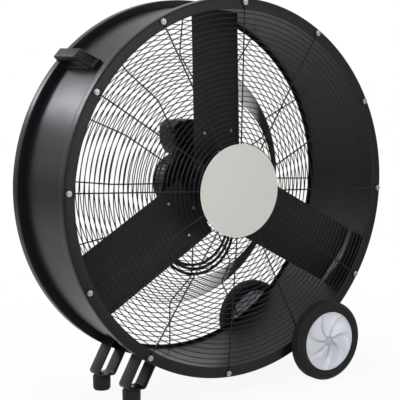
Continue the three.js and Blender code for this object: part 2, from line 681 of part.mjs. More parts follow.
function coilPoints() {
  const points = [];
  const low = LOOP_STEPS / 2;
  for (let turn = 0; turn < LOOPS; turn++) {
    const from = LANES[turn];
    const to = LANES[turn + 1];
    for (let i = 0; i <= low; i++) {
      const t = i / low;
      const angle = RIGHT_NORMAL + (LEFT_NORMAL - RIGHT_NORMAL) * t;
      const layer = from.layer + (to.layer - from.layer) * t;
      const sag = turn * LOOP_SPREAD * Math.sin(Math.PI * t);
      const radius = LOOP_LOW_RADIUS + layer * LAYER_STEP + sag;
      const point = LOW_CENTRE.clone().addScaledVector(outward(angle), radius);
      points.push(point.setY(from.y + (to.y - from.y) * t));
    }
    const high = LOOP_STEPS - low - 2;
    for (let i = 0; i <= high; i++) {
      const angle = LEFT_NORMAL + ((RIGHT_NORMAL - 360 - LEFT_NORMAL) * i) / high;
      const radius = LOOP_TOP_RADIUS + to.layer * LAYER_STEP;
      points.push(outward(angle).multiplyScalar(radius).setY(to.y));
    }
  }
  const first = points[0];
  const last = points.at(-1);
  points.unshift(first.clone().addScaledVector(DOWN_RUN, -2 * CORD_RADIUS));
  points.push(last.clone().addScaledVector(DOWN_RUN, 2 * CORD_RADIUS));
  return points;
}

// The least gap between parts of one cord that are not neighbours along it.
function leastGap(points, radius) {
  const route = new THREE.CurvePath();
  points.slice(1).forEach((p, i) => route.add(new THREE.LineCurve3(points[i], p)));
  const length = route.getLength();
  const samples = route.getSpacedPoints(Math.round(length / 3));
  const apart = Math.ceil((8 * radius) / 3);
  let least = Infinity;
  samples.forEach((p, i) => {
    for (let j = i + apart; j < samples.length; j++) {
      least = Math.min(least, p.distanceTo(samples[j]));
    }
  });
  return { length, gap: least - 2 * radius };
}

function mainsLead() {
  const coil = coilPoints();
  const exit = v3(BOX_HALF_WIDTH + CLEARANCE, BOX_FRONT + 32, BOX_Z + 52);
  const relief = spun(
    [
      [0, 0], [STRAIN_RADIUS + STRAIN_FLANGE, 0], [STRAIN_RADIUS + STRAIN_FLANGE, 5],
      [STRAIN_RADIUS, 5], [CORD_RADIUS + 1, STRAIN_LENGTH], [0, STRAIN_LENGTH],
    ],
    12,
  );
  add("strain_relief", relief.rotateZ(-Math.PI / 2).translate(exit.x, exit.y, exit.z), BLACK_PLASTIC);

  const gap = v3(CLEARANCE, 0, 0);
  const start = exit.clone().add(v3(STRAIN_LENGTH, 0, 0)).add(gap);
  const end = coil[0].clone().addScaledVector(DOWN_RUN, -CLEARANCE);
  const lead = new THREE.CatmullRomCurve3([
    start, start.clone().add(v3(10, 0, 0)), start.clone().add(v3(26, -1, -6)),
    start.clone().add(v3(38, -5, -24)), start.clone().add(v3(42, -11, -52)),
    start.clone().add(v3(39, -18, -90)), v3(127, FIRST_LANE + 22, 5), v3(119, LANES[0].y, -40),
    end.clone().addScaledVector(DOWN_RUN, -2 * CORD_RADIUS), end,
  ]);
  add("cord_lead", wire(lead.getPoints(18), CORD_RADIUS, 8), CORD_PVC);
  add("cord_coil", wire(coil, CORD_RADIUS, 6), CORD_PVC);
  const coilFacts = leastGap(coil, CORD_RADIUS);

  const out = outward(RIGHT_NORMAL);
  const from = coil.at(-1).clone().addScaledVector(DOWN_RUN, CLEARANCE);
  const aside = 9; // how far the plug hangs clear of the runs beside it
  const tail = new THREE.CatmullRomCurve3([
    from, from.clone().addScaledVector(DOWN_RUN, 12), from.clone().addScaledVector(DOWN_RUN, 42),
    from.clone().addScaledVector(DOWN_RUN, 62).addScaledVector(out, aside * 0.5),
    from.clone().addScaledVector(DOWN_RUN, 82).addScaledVector(out, aside),
    from.clone().addScaledVector(DOWN_RUN, 92).addScaledVector(out, aside),
  ]);
  add("cord_tail", wire(tail.getPoints(9), CORD_RADIUS, 8), CORD_PVC);
  const total = lead.getLength() + coilFacts.length + tail.getLength();
  console.log("cord length " + total.toFixed(0) + ", coil gap " + coilFacts.gap.toFixed(2));

  plug(from.clone().addScaledVector(DOWN_RUN, 92 + CLEARANCE).addScaledVector(out, aside));
  cordTie(coil.at(-1));
}

// A moulded three-pin plug that points down the right-hand run.
function plug(place) {
  const boot = spun([[0, 0], [CORD_RADIUS + 1, 0], [8, PLUG_BOOT], [0, PLUG_BOOT]], 12);
  const w = PLUG_HALF_WIDTH;
  const head = block([-w, PLUG_BOOT, 0.5 - w], [w, PLUG_LENGTH, w - 0.5]);
  const root = PLUG_LENGTH - 2;
  const tip = PLUG_LENGTH + PIN_LENGTH;
  const live = block([-6.9, root, -3.2], [-5.4, tip, 3.2]);
  const neutral = block([5.4, root, -3.2], [6.9, tip, 3.2]);
  const earth = block([-2, root, 4], [2, tip + 2, 8]);
  const group = new THREE.Group();
  group.position.copy(place);
  group.rotation.y = -radians(RIGHT_NORMAL);
  const body = join(boot, head, live, neutral, earth);
  body.rotateX(-Math.PI / 2);
  axis.add(group);
  add("mains_plug", body, BLACK_PLASTIC, group);
}

// The strap that ties the hanging end to the runs beside it.
function cordTie(end) {
  const spare = 0.5; // between strap and cord
  const edge = TIE_WIDTH / 2;
  const low = -LAYER_STEP - CORD_RADIUS - spare;
  const high = CORD_RADIUS + spare;
  const half = LANE_STEP / 2 + CORD_RADIUS + spare;
  const t = TIE_WALL;
  const outer = block([low - t, -half - t, -edge], [high + t, half + t, edge]);
  const inner = block([low, -half, -TIE_WIDTH], [high, half, TIE_WIDTH]);
  const centre = end.clone().addScaledVector(DOWN_RUN, 30);
  const band = cut(outer, inner).rotateY(-radians(RIGHT_NORMAL));
  add("cord_tie", band.translate(centre.x, centre.y, centre.z), CORD_PVC);
}

// ---- handle -------------------------------------------------------------
function shellCutter() {
  return rod(SHELL_RADIUS + CLEARANCE, -DRUM_LENGTH, DRUM_LENGTH, DRUM_FACETS);
}

// A closed loop of a handle: a base plate on the shell, a front leg that slopes
// up to the grip, with a screw pocket in it, and a steeper leg at the back.
function handle() {
  const seat = SHELL_RADIUS - HANDLE_BASE;
  const base = SHELL_RADIUS + HANDLE_BASE;
  const toe = SHELL_RADIUS + HANDLE_TOE;
  const top = SHELL_RADIUS + HANDLE_HEIGHT;
  const under = top - GRIP_THICKNESS;
  const front = HANDLE_FRONT;
  const back = front + HANDLE_LENGTH;
  const crest = front + HANDLE_SLOPE;
  const rear = back - HANDLE_BACK_SLOPE;
  const round = HANDLE_ROUND;
  const gripFront = crest + round + BLEND;
  const gripBack = gripFront + GRIP_LENGTH;
  const outline = [
    [seat, front], [toe, front], [toe, front + BLEND], [top - round, crest - round], [top, crest],
    [top, rear], [top - round, rear + round], [toe, back], [seat, back],
  ];
  const gap = [
    [base, crest - LEG_LEAN], [under - round, crest - round], [under, gripFront],
    [under, gripBack], [under - round, gripBack + round], [base, gripBack + BLEND + round],
  ];
  const shape = new THREE.Shape(outline.map(([r, y]) => v2(r, y)));
  shape.holes.push(new THREE.Path(gap.map(([r, y]) => v2(r, y)).reverse()));
  const bevel = 2;
  const depth = HANDLE_WIDTH - 2 * bevel;
  const bar = new THREE.ExtrudeGeometry(shape, {
    depth, bevelThickness: bevel, bevelSize: bevel, bevelOffset: -bevel, bevelSegments: 1,
  }).translate(0, 0, -depth / 2);
  const lip = front + HANDLE_TOE;
  const floor = front + POCKET_REACH;
  const pocket = new THREE.Shape([
    v2(top, lip), v2(toe + 2, lip), v2(toe + 2, floor - HANDLE_TOE), v2(toe + 8, floor - 8),
    v2(top - HANDLE_TOE, floor), v2(top, floor),
  ]);
  const room = HANDLE_WIDTH - 2 * POCKET_WALL;
  const hollow = new THREE.ExtrudeGeometry(pocket, { depth: room, bevelEnabled: false });
  const carved = cut(bar, hollow.translate(0, 0, -room / 2));
  add("handle", cut(turned(carved, HANDLE_TURN), shellCutter()), BLACK_PLASTIC);
}

// ---- legs and feet ------------------------------------------------------
function leg(end) {
  const y = LEG_PLACES[end];
  const baseZ = -AXIS_HEIGHT + FOOT_HEIGHT + CLEARANCE + LEG_STRAP / 2;
  const toAxis = v2(-LEG_X, -baseZ).normalize();
  const lean = 90 - THREE.MathUtils.radToDeg(Math.atan2(toAxis.y, toAxis.x));
  const b = LEG_BEND;
  // The arms stand LEG_SPAN apart, so the base between them is a little wider.
  const half = LEG_SPAN / 2 / Math.cos(radians(lean));
  const reach = Math.hypot(LEG_X, baseZ) - SHELL_RADIUS + 20;
  const armEnd = (side) => [LEG_X + side * half + toAxis.x * reach, baseZ + toAxis.y * reach];
  const bend = (side) => {
    // A fillet between the base and the arm: the outer bend turns less.
    const turnAngle = 90 - side * lean;
    const tangent = b * Math.tan(radians(turnAngle / 2));
    const x = LEG_X + side * (half - tangent);
    const from = side < 0 ? 270 - turnAngle : 270;
    const to = side < 0 ? 270 : 270 + turnAngle;
    return arc(x, baseZ + b, b, from, to, 4);
  };
  const middle = [armEnd(-1), ...bend(-1), ...bend(1), armEnd(1)];
  const strap = plate(strip(middle, LEG_STRAP), y - LEG_WIDTH / 2, y + LEG_WIDTH / 2);
  const hole = rod(FOOT_BOLT_RADIUS + CLEARANCE, -LEG_BEND, LEG_BEND, 12).rotateX(Math.PI / 2);
  hole.translate(LEG_X, y, baseZ);
  add("leg_" + end, cut(strap, shellCutter(), hole), BLACK_STEEL);
}

function foot(end) {
  const group = new THREE.Group();
  group.position.set(LEG_X, LEG_PLACES[end], 0);
  fan.add(group);
  const boltHole = FOOT_BOLT_RADIUS + CLEARANCE;
  const holeFloor = FOOT_BOLT_END - 2;
  const profile = [
    [boltHole, holeFloor], [0, holeFloor], [0, 0], [FOOT_RADIUS - 3, 0], [FOOT_RADIUS, 4],
    [FOOT_RADIUS, FOOT_HEIGHT - 6], [FOOT_RADIUS - 3, FOOT_HEIGHT], [boltHole, FOOT_HEIGHT],
  ];
  const rubber = spun(profile, FOOT_FACETS).rotateX(Math.PI / 2);
  add("foot_" + end, rubber, RUBBER, group);
  const strapTop = FOOT_HEIGHT + CLEARANCE + LEG_STRAP;
  const headAt = strapTop + CLEARANCE;
  const bolt = spun(
    [
      [0, FOOT_BOLT_END], [FOOT_BOLT_RADIUS, FOOT_BOLT_END], [FOOT_BOLT_RADIUS, headAt],
      [FOOT_BOLT_HEAD, headAt], [FOOT_BOLT_HEAD, headAt + 5], [0, headAt + 6.5],
    ],
    12,
  ).rotateX(Math.PI / 2);
  add("foot_bolt_" + end, bolt, BRIGHT_STEEL, group);
}

// ---- wheels -------------------------------------------------------------
const AXLE_DISTANCE = SHELL_RADIUS + AXLE_STAND; // from the drum axis
const AXLE_Z = WHEEL_RADIUS - AXIS_HEIGHT;
const WHEEL_X = Math.sqrt(AXLE_DISTANCE ** 2 - AXLE_Z ** 2);
const wheelAxis = new THREE.Group();
wheelAxis.position.set(WHEEL_X, 0, WHEEL_RADIUS);
fan.add(wheelAxis);
const TYRE_INNER_FACE = TYRE_OUTER_FACE - TYRE_WIDTH;
const HUB_INNER_FACE = TYRE_INNER_FACE + 2;
const HUB_OUTER_FACE = TYRE_OUTER_FACE - 3;
const SPACER_END = HUB_INNER_FACE - CLEARANCE;
const CLIP_FACE = HUB_OUTER_FACE - 9;

// A swirled spoke of the wheel's face, from the boss out to the rim.
function swirl(angle, from, to) {
  const points = [];
  const inner = WHEEL_BOSS_RADIUS - 1;
  const outer = HUB_DISC_RADIUS - HUB_RIM + 2;
  const steps = 3;
  for (let i = 0; i <= steps; i++) {
    const r = inner + ((outer - inner) * i) / steps;
    const a = radians(angle + SWIRL_SWEEP * (i / steps) ** 1.4);
    points.push([r * Math.cos(a), r * Math.sin(a)]);
  }
  return plate(strip(points, SWIRL_WIDTH), from, to);
}

function wheel(end, side) {
  const mirrored = (geometry) => (side < 0 ? geometry.rotateZ(Math.PI) : geometry);
  const w = TYRE_WIDTH;
  const seat = HUB_DISC_RADIUS + CLEARANCE;
  const r = WHEEL_RADIUS;
  const tyreProfile = [
    [seat, 2], [seat + 8, 0], [r - 9, 1], [r, 8], [r, w / 2 - 2], [r - 4, w / 2],
    [r, w / 2 + 2], [r, w - 8], [r - 9, w - 1], [seat + 8, w], [seat, w - 2],
  ].map(([radius, y]) => [radius, TYRE_INNER_FACE + y]);
  add(end + "_tyre", mirrored(spun(tyreProfile, WHEEL_FACETS)), RUBBER, wheelAxis);

  const rimBore = HUB_DISC_RADIUS - HUB_RIM;
  const rimRing = tube(HUB_DISC_RADIUS, rimBore, HUB_INNER_FACE, HUB_OUTER_FACE, WHEEL_FACETS);
  const webFace = HUB_OUTER_FACE - WEB_PLACE;
  const web = rod(HUB_DISC_RADIUS - 2, webFace - WEB_THICKNESS, webFace, WHEEL_FACETS);
  const boss = rod(WHEEL_BOSS_RADIUS, HUB_INNER_FACE, CLIP_FACE, TURNED_FACETS);
  const swirls = [];
  for (let i = 0; i < SWIRLS; i++) {
    swirls.push(swirl((360 / SWIRLS) * i, webFace - 2, webFace + 6));
  }
  const bore = rod(AXLE_BORE_RADIUS, HUB_INNER_FACE - 5, HUB_OUTER_FACE, TURNED_FACETS);
  const hub = cut(join(rimRing, web, boss, ...swirls), bore);
  add(end + "_wheel_hub", mirrored(hub), SILVER_PLASTIC, wheelAxis);

  const capTop = TYRE_OUTER_FACE + CAP_RISE;
  const cap = spun(
    [
      [0, capTop], [CAP_RADIUS * 0.6, capTop - 1.5], [CAP_RADIUS, capTop - 5],
      [CAP_RADIUS, CLIP_FACE + CLEARANCE], [CAP_RADIUS - 1.5, CLIP_FACE + CLEARANCE],
      [CAP_RADIUS - 1.5, capTop - 6], [0, capTop - 3],
    ],
    TURNED_FACETS,
  );
  add(end + "_wheel_cap", mirrored(cap), SILVER_PLASTIC, wheelAxis);

  const clip = tube(CAP_RADIUS - 3, AXLE_RADIUS + CLEARANCE, CLIP_FACE + CLEARANCE, CLIP_FACE + 2, 12);
  add("axle_clip_" + end, mirrored(clip), BRIGHT_STEEL, wheelAxis);
  const spacerStart = BRACKET_PLACE + BRACKET_WIDTH / 2 + CLEARANCE;
  const spacer = tube(AXLE_RADIUS + 4, AXLE_RADIUS + CLEARANCE, spacerStart, SPACER_END, 12);
  add("axle_spacer_" + end, mirrored(spacer), BLACK_STEEL, wheelAxis);
}

// A channel bracket: its web follows the shell and its two ears hold the axle.
function axleBracket(end, side) {
  const from = side * BRACKET_PLACE - BRACKET_WIDTH / 2;
  const to = side * BRACKET_PLACE + BRACKET_WIDTH / 2;
  const distance = AXLE_DISTANCE;
  const angle = THREE.MathUtils.radToDeg(Math.atan2(AXLE_Z, WHEEL_X));
  const h = BRACKET_HALF_HEIGHT;
  const eye = 17;
  const outline = [
    [SHELL_RADIUS - 12, -h], [SHELL_RADIUS + 8, -h], ...arc(distance, 0, eye, -80, 80, 6),
    [SHELL_RADIUS + 8, h], [SHELL_RADIUS - 12, h],
  ];
  const stock = plate(outline, from, to);
  const t = BRACKET_SHEET;
  const channel = block([SHELL_RADIUS + t, from + t, -h - 5], [distance + eye + 5, to - t, h + 5]);
  const bore = rod(AXLE_RADIUS + CLEARANCE, from - 5, to + 5, 16).translate(distance, 0, 0);
  const bracket = cut(stock, channel, bore);
  add("axle_bracket_" + end, cut(turned(bracket, angle), shellCutter()), BLACK_STEEL);
}

function running() {
  const axleEnd = CLIP_FACE + 3.5;
  add("axle", rod(AXLE_RADIUS, -axleEnd, axleEnd, 16), BRIGHT_STEEL, wheelAxis);
  wheel("front", -1);
  wheel("rear", 1);
  axleBracket("front", -1);
  axleBracket("rear", 1);
  for (const end of ["front", "rear"]) {
    leg(end);
    foot(end);
  }
}

drum();
frontGuard();
rearGuard();
motor();
rotor();
controlBox();
mainsLead();
handle();
running();

export default fan;
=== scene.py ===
"""Drum fan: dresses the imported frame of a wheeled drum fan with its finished
surfaces, wire guards, blades, motor, mains cord and wheels, and sets it in a
plain studio. Lengths are metres; sizes are written in millimetres times MM."""
import json
import math

import bmesh
import bpy
from bpy.props import FloatProperty, FloatVectorProperty, IntProperty, PointerProperty
from mathutils import Matrix, Vector


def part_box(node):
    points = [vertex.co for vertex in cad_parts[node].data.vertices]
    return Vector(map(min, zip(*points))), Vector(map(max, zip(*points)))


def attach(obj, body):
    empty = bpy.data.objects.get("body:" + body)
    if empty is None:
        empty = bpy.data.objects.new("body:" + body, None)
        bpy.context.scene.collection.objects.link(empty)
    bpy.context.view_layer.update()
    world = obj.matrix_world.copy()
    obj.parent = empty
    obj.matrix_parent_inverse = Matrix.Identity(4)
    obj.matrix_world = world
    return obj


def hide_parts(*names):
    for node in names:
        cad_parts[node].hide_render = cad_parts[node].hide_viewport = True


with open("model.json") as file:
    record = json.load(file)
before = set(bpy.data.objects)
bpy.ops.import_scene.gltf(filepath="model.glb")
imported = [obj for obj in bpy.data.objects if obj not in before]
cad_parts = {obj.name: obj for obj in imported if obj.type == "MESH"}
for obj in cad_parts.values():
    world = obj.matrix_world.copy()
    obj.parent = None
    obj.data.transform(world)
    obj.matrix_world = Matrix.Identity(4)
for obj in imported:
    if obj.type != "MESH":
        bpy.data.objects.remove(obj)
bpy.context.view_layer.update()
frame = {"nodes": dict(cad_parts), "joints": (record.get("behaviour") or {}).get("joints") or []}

bl_info = {
    "name": "Drum Fan",
    "version": (1, 0, 0),
    "blender": (4, 5, 0),
    "location": "View3D > Sidebar > Drum Fan",
    "description": "Dresses the frame of a wheeled drum fan",
    "category": "Object",
}

MM = 0.001
MERGE = 0.01 * MM
PLACES = {joint["name"]: Vector(joint["pos_m"]) for joint in frame["joints"]}
AXIS = PLACES["rotor_spin"]
WHEEL = PLACES["front_wheel_spin"]
KNOB = PLACES["speed_knob_turn"]
ORIGIN = Vector((0, 0, 0))
ALONG_DRUM = Vector((0, 1, 0))
CLEARANCE = 0.3 * MM
SPOKES = 12
SPOKE_TURN = math.radians(-3.1)
# How strongly the finishes mirror at a right angle: flat coats do it weakly.
COAT_SPECULAR = 0.16


# ---- colours and nodes --------------------------------------------------
def linear(hex_colour):
    """An sRGB hex colour as linear red, green and blue."""
    channels = [int(hex_colour[i:i + 2], 16) / 255 for i in (0, 2, 4)]
    return tuple(c / 12.92 if c <= 0.04045 else ((c + 0.055) / 1.055) ** 2.4 for c in channels)


def add_node(tree, kind, inputs=None, **settings):
    """Adds a node. inputs gives each socket a value or another node's output."""
    node = tree.nodes.new(kind)
    for name, value in settings.items():
        setattr(node, name, value)
    for socket, value in (inputs or {}).items():
        if isinstance(value, bpy.types.NodeSocket):
            tree.links.new(value, node.inputs[socket])
        else:
            node.inputs[socket].default_value = value
    return node


def start_material(name, colour, roughness, metallic=0.0):
    """A material with a principled shader, and the place that its patterns read."""
    material = bpy.data.materials.new(name)
    material.use_nodes = True
    tree = material.node_tree
    shader = tree.nodes["Principled BSDF"]
    shader.inputs["Base Color"].default_value = (*colour, 1)
    shader.inputs["Roughness"].default_value = roughness
    shader.inputs["Metallic"].default_value = metallic
    shader.inputs["Specular IOR Level"].default_value = COAT_SPECULAR
    place = add_node(tree, "ShaderNodeTexCoord").outputs["Object"]
    return material, tree, shader, place


def blend_colours(tree, shader, factor, low, high):
    """The base colour runs from low to high with factor."""
    mix = add_node(tree, "ShaderNodeMix", {"Factor": factor, "A": (*low, 1), "B": (*high, 1)},
                   data_type="RGBA")
    tree.links.new(mix.outputs["Result"], shader.inputs["Base Color"])


def shade(colour, share):
    """A colour times a share."""
    return tuple(c * share for c in colour)


def surface(name, colour, roughness, clouds=None, gloss=None, grain=None, metallic=0.0):
    """A material with up to three patterns, each in metres: clouds of lighter
    and darker colour (size, share), gloss that wanders (size, smooth, rough),
    and a bump of grains (size, depth)."""
    material, tree, shader, place = start_material(name, colour, roughness, metallic)

    def noise(size, detail):
        node = add_node(tree, "ShaderNodeTexNoise", {"Vector": place, "Scale": 1 / size, "Detail": detail})
        return node.outputs["Fac"]

    if clouds:
        size, share = clouds
        blend_colours(tree, shader, noise(size, 3.0), shade(colour, 1 - share), shade(colour, 1 + share))
    if gloss:
        size, smooth, rough = gloss
        band = add_node(tree, "ShaderNodeMapRange",
                        {"Value": noise(size, 4.0), "From Min": 0.3, "From Max": 0.7,
                         "To Min": smooth, "To Max": rough})
        tree.links.new(band.outputs["Result"], shader.inputs["Roughness"])
    if grain:
        size, depth = grain
        bump = add_node(tree, "ShaderNodeBump",
                        {"Height": noise(size, 2.0), "Strength": 1.0, "Distance": depth})
        tree.links.new(bump.outputs["Normal"], shader.inputs["Normal"])
    return material, tree, shader


# ---- materials ----------------------------------------------------------
def powder_coated_steel(colour):
    """Sheet steel, powder coated satin black: baked resin with a faint orange
    peel, so its highlights are broad and soft."""
    # Real orange peel is about 1 mm across; 4 mm shows at this distance.
    return surface("powder_coated_steel", colour, 0.33, clouds=(90 * MM, 0.10),
                   gloss=(60 * MM, 0.3, 0.36), grain=(4 * MM, 0.05 * MM))[0]


def coated_wire(colour):
    """Drawn steel wire under black powder coat, which pools smooth on a wire
    and so glints more than the sheet does."""
    return surface("coated_wire", colour, 0.34, clouds=(25 * MM, 0.12), gloss=(12 * MM, 0.28, 0.4))[0]


def coated_blade_steel(colour):
    """Blade sheet under a warm black coat, matt from its flat pigment."""
    return surface("coated_blade_steel", colour, 0.52, clouds=(70 * MM, 0.12),
                   gloss=(30 * MM, 0.46, 0.58), grain=(5 * MM, 0.05 * MM))[0]


def enamelled_sheet(colour):
    """Pressed sheet in light grey stoved enamel: even, slightly warm, with a
    soft sheen."""
    return surface("enamelled_sheet", colour, 0.38, clouds=(50 * MM, 0.012), gloss=(35 * MM, 0.34, 0.42))[0]


def painted_casting(colour):
    """Die-cast aluminium motor housing in black enamel: the casting's skin
    shows through as a fine pebble."""
    return surface("painted_casting", colour, 0.36, clouds=(18 * MM, 0.15),
                   gloss=(10 * MM, 0.3, 0.42), grain=(2 * MM, 0.12 * MM))[0]


def zinc_plate(colour):
    """Zinc on turned and headed steel: a metal with a slightly cloudy
    passivated skin."""
    return surface("zinc_plate", colour, 0.36, clouds=(4 * MM, 0.08), gloss=(3 * MM, 0.3, 0.42),
                   metallic=1.0)[0]


def laminated_core(colour):
    """Stacked stator plates under brown varnish: thin dark lines across the
    length of the motor."""
    material, tree, shader, place = start_material("laminated_core", colour, 0.5, 0.3)
    # Plates are 0.5 mm thick; 2 mm bands show. A wave's scale of 1 is 20 bands.
    bands = add_node(tree, "ShaderNodeTexWave",
                     {"Vector": place, "Scale": 1 / (2 * MM) / 20, "Distortion": 0.0}, bands_direction="Y")
    blend_colours(tree, shader, bands.outputs["Fac"], shade(colour, 0.6), colour)
    return material


def moulded_abs(colour):
    """Black ABS moulded in a spark-textured tool: matt, with a fine even
    grain."""
    # Spark texture is about 0.3 mm; 1.2 mm shows.
    return surface("moulded_abs", colour, 0.5, clouds=(30 * MM, 0.06),
                   gloss=(20 * MM, 0.46, 0.56), grain=(1.2 * MM, 0.08 * MM))[0]


def cord_sheath(colour):
    """Soft black PVC cord sheath, extruded: dull, with a slow waviness."""
    return surface("cord_sheath", colour, 0.55, clouds=(15 * MM, 0.1), grain=(6 * MM, 0.15 * MM))[0]


def tyre_rubber(colour):
    """Solid moulded tyre rubber: near matt, bloomed a little grey in patches."""
    return surface("tyre_rubber", colour, 0.66, clouds=(22 * MM, 0.16),
                   gloss=(14 * MM, 0.58, 0.74), grain=(1.5 * MM, 0.08 * MM))[0]


def foot_rubber(colour):
    """Moulded foot rubber, smoother and harder than the tyres."""
    return surface("foot_rubber", colour, 0.58, clouds=(12 * MM, 0.12), grain=(1.5 * MM, 0.06 * MM))[0]


def silver_moulding(colour):
    """Polypropylene hub in silver paint: pale and cool, with fine metal flake
    that only softens its gloss, and with painted shade in the creases
    between its panels."""
    material, tree, shader = surface("silver_moulding", colour, 0.36, gloss=(1.5 * MM, 0.3, 0.42),
                                     metallic=0.1)
    # Painted shade: an ambient occlusion node darkens the base colour in the creases between the panels,
    # where shade falls.
    painted_crease_shade = add_node(tree, "ShaderNodeAmbientOcclusion", {"Distance": 16 * MM}, samples=8)
    depth = add_node(tree, "ShaderNodeMapRange",
                     {"Value": painted_crease_shade.outputs["AO"], "From Min": 0.4, "From Max": 0.85})
    blend_colours(tree, shader, depth.outputs["Result"], shade(colour, 0.45), colour)
    return material


def grey_moulding(colour):
    """Push-on axle cap in plain grey polypropylene: waxy, barely textured."""
    return surface("grey_moulding", colour, 0.32, clouds=(8 * MM, 0.04), gloss=(6 * MM, 0.28, 0.38))[0]


def dial_print(colour):
    """Screen-printed white marks: flat ink with a slight unevenness."""
    return surface("dial_print", colour, 0.6, clouds=(3 * MM, 0.04))[0]


MAKERS = {
    "drum_steel": powder_coated_steel, "guard_wire": coated_wire,
    "blade_steel": coated_blade_steel, "disc_grey": enamelled_sheet,
    "motor_paint": painted_casting, "bright_steel": zinc_plate,
    "stator_core": laminated_core, "black_plastic": moulded_abs,
    "cord_pvc": cord_sheath, "tyre_rubber": tyre_rubber,
    "foot_rubber": foot_rubber, "wheel_plastic": silver_moulding,
    "cap_plastic": grey_moulding, "dial_mark": dial_print,
}
MATERIALS = {}


def finish_of(slot):
    """The material of a slot, made once from the colour in the panel."""
    if slot not in MATERIALS:
        colour = getattr(bpy.context.scene.drum_fan_colours, slot)
        MATERIALS[slot] = MAKERS[slot](tuple(colour))
    return MATERIALS[slot]


# ---- mesh tools ---------------------------------------------------------
def made_verts(made):
    """The vertices in what an operator made."""
    return [g for g in made["geom"] if isinstance(g, bmesh.types.BMVert)]


def edges_within(made, verts):
    """The made edges that run between two of these vertices."""
    members = set(verts)
    return [g for g in made["geom"] if isinstance(g, bmesh.types.BMEdge) and members.issuperset(g.verts)]


def transform(bm, matrix):
    """Moves all that a bmesh holds by a matrix."""
    bmesh.ops.transform(bm, matrix=matrix, verts=bm.verts)


def eased(points, closed=True, steps=4):
    """A flat outline with rounded corners: a point's third number is the
    reach of its corner's curve."""
    result = []
    for i, (x, y, *reach) in enumerate(points):
        here = Vector((x, y))
        at_end = not closed and i in (0, len(points) - 1)
        if at_end or not any(reach):
            result.append(here)
            continue
        before = Vector(points[i - 1][:2]) - here
        after = Vector(points[(i + 1) % len(points)][:2]) - here
        first = here + before.normalized() * min(reach[0], before.length * 0.48)
        last = here + after.normalized() * min(reach[0], after.length * 0.48)
        for k in range(steps + 1):
            t = k / steps
            result.append(first.lerp(here, t).lerp(here.lerp(last, t), t))
    return result


def spin(bm, profile, centre=ORIGIN, steps=64, closed=True):
    """Spins a profile of (radius, y, ease) points about the line along Y
    through centre. An open profile starts and ends on that line."""
    verts = [bm.verts.new((centre.x + p.x, p.y, centre.z)) for p in eased(profile, closed)]
    pairs = zip(verts, verts[1:] + verts[:1] if closed else verts[1:])
    edges = [bm.edges.new(pair) for pair in pairs]
    full_spin(bm, verts + edges, centre, steps)


def ring_section(bore, radius, low, high, outer_ease=0, inner_ease=0):
    """The profile of a ring, or of a rod where the bore is 0."""
    return [(bore, low, inner_ease), (radius, low, outer_ease), (radius, high, outer_ease),
            (bore, high, inner_ease)]


def from_face(face, way, points):
    """A profile from millimetre points of (radius, depth, ease), with the
    depth measured from a face along Y, or against it where way is -1."""
    return [(r * MM, face + way * depth * MM, *[e * MM for e in ease]) for r, depth, *ease in points]


def full_spin(bm, geom, centre, steps):
    """Spins edges all the way round, and joins where the ends meet."""
    bmesh.ops.spin(bm, geom=geom, cent=centre, axis=ALONG_DRUM, dvec=(0, 0, 0),
                   angle=math.tau, steps=steps, use_merge=True)
    bmesh.ops.remove_doubles(bm, verts=bm.verts, dist=MERGE)


def repeat_round(bm, count, angle=0.0):
    """Copies what the bmesh holds until there are count of it round the
    drum's axis, and then turns them all."""
    everything = bm.verts[:] + bm.edges[:] + bm.faces[:]
    bmesh.ops.spin(bm, geom=everything, cent=AXIS, axis=ALONG_DRUM, dvec=(0, 0, 0),
                   angle=math.tau * (count - 1) / count, steps=count - 1, use_duplicate=True)
    if angle:
        transform(bm, turn_about_axis(angle))


def prism(bm, outline, start, stop):
    """An outline of (x, z) points made solid between two places along Y."""
    verts = [bm.verts.new((x, start, z)) for x, z in outline]
    face = bm.faces.new(verts)
    far = made_verts(bmesh.ops.extrude_face_region(bm, geom=[face]))
    bmesh.ops.translate(bm, vec=(0, stop - start, 0), verts=far)


def slab(bm, low, high):
    """A block between two corners."""
    middle = (Vector(low) + Vector(high)) / 2
    size = Vector(high) - Vector(low)
    matrix = Matrix.Translation(middle) @ Matrix.Diagonal((*size, 1))
    bmesh.ops.create_cube(bm, size=1.0, matrix=matrix)


def bevel_sharp(bm, width, segments=2, least=30):
    """Rounds every edge that turns more than least degrees."""
    limit = math.radians(least)
    sharp = [e for e in bm.edges if e.is_manifold and e.calc_face_angle() > limit]
    bmesh.ops.bevel(bm, geom=sharp, offset=width, offset_type="OFFSET", segments=segments,
                    profile=0.5, affect="EDGES", material=-1, clamp_overlap=True)


def rounded_block(bm, low, high, width, segments=2):
    """Adds a block between two corners, its edges rounded."""
    block = bmesh.new()
    slab(block, low, high)
    bevel_sharp(block, width, segments)
    merge_into(bm, block)


def frames_along(path):
    """A matrix at each point of a path: Z runs along it, and X and Y don't
    twist about it."""
    last = len(path) - 1
    side = None
    frames = []
    for i, point in enumerate(path):
        along = (path[min(i + 1, last)] - path[max(i - 1, 0)]).normalized()
        side = along.orthogonal() if side is None else side - along * side.dot(along)
        side.normalize()
        up = along.cross(side)
        frames.append(Matrix((side, up, along)).transposed().to_4x4())
        frames[-1].translation = point
    return frames


def sweep(bm, path, radius, sides=8):
    """A round rod along a path, closed at both ends."""
    frames = frames_along(path)
    ring = bmesh.ops.create_circle(bm, cap_ends=True, segments=sides, radius=radius, matrix=frames[0])
    edges = list({e for v in ring["verts"] for e in v.link_edges})
    for before, after in zip(frames, frames[1:]):
        made = bmesh.ops.extrude_edge_only(bm, edges=edges)
        ring = made_verts(made)
        bmesh.ops.transform(bm, matrix=after @ before.inverted(), verts=ring)
        edges = edges_within(made, ring)
    bmesh.ops.edgeloop_fill(bm, edges=edges)


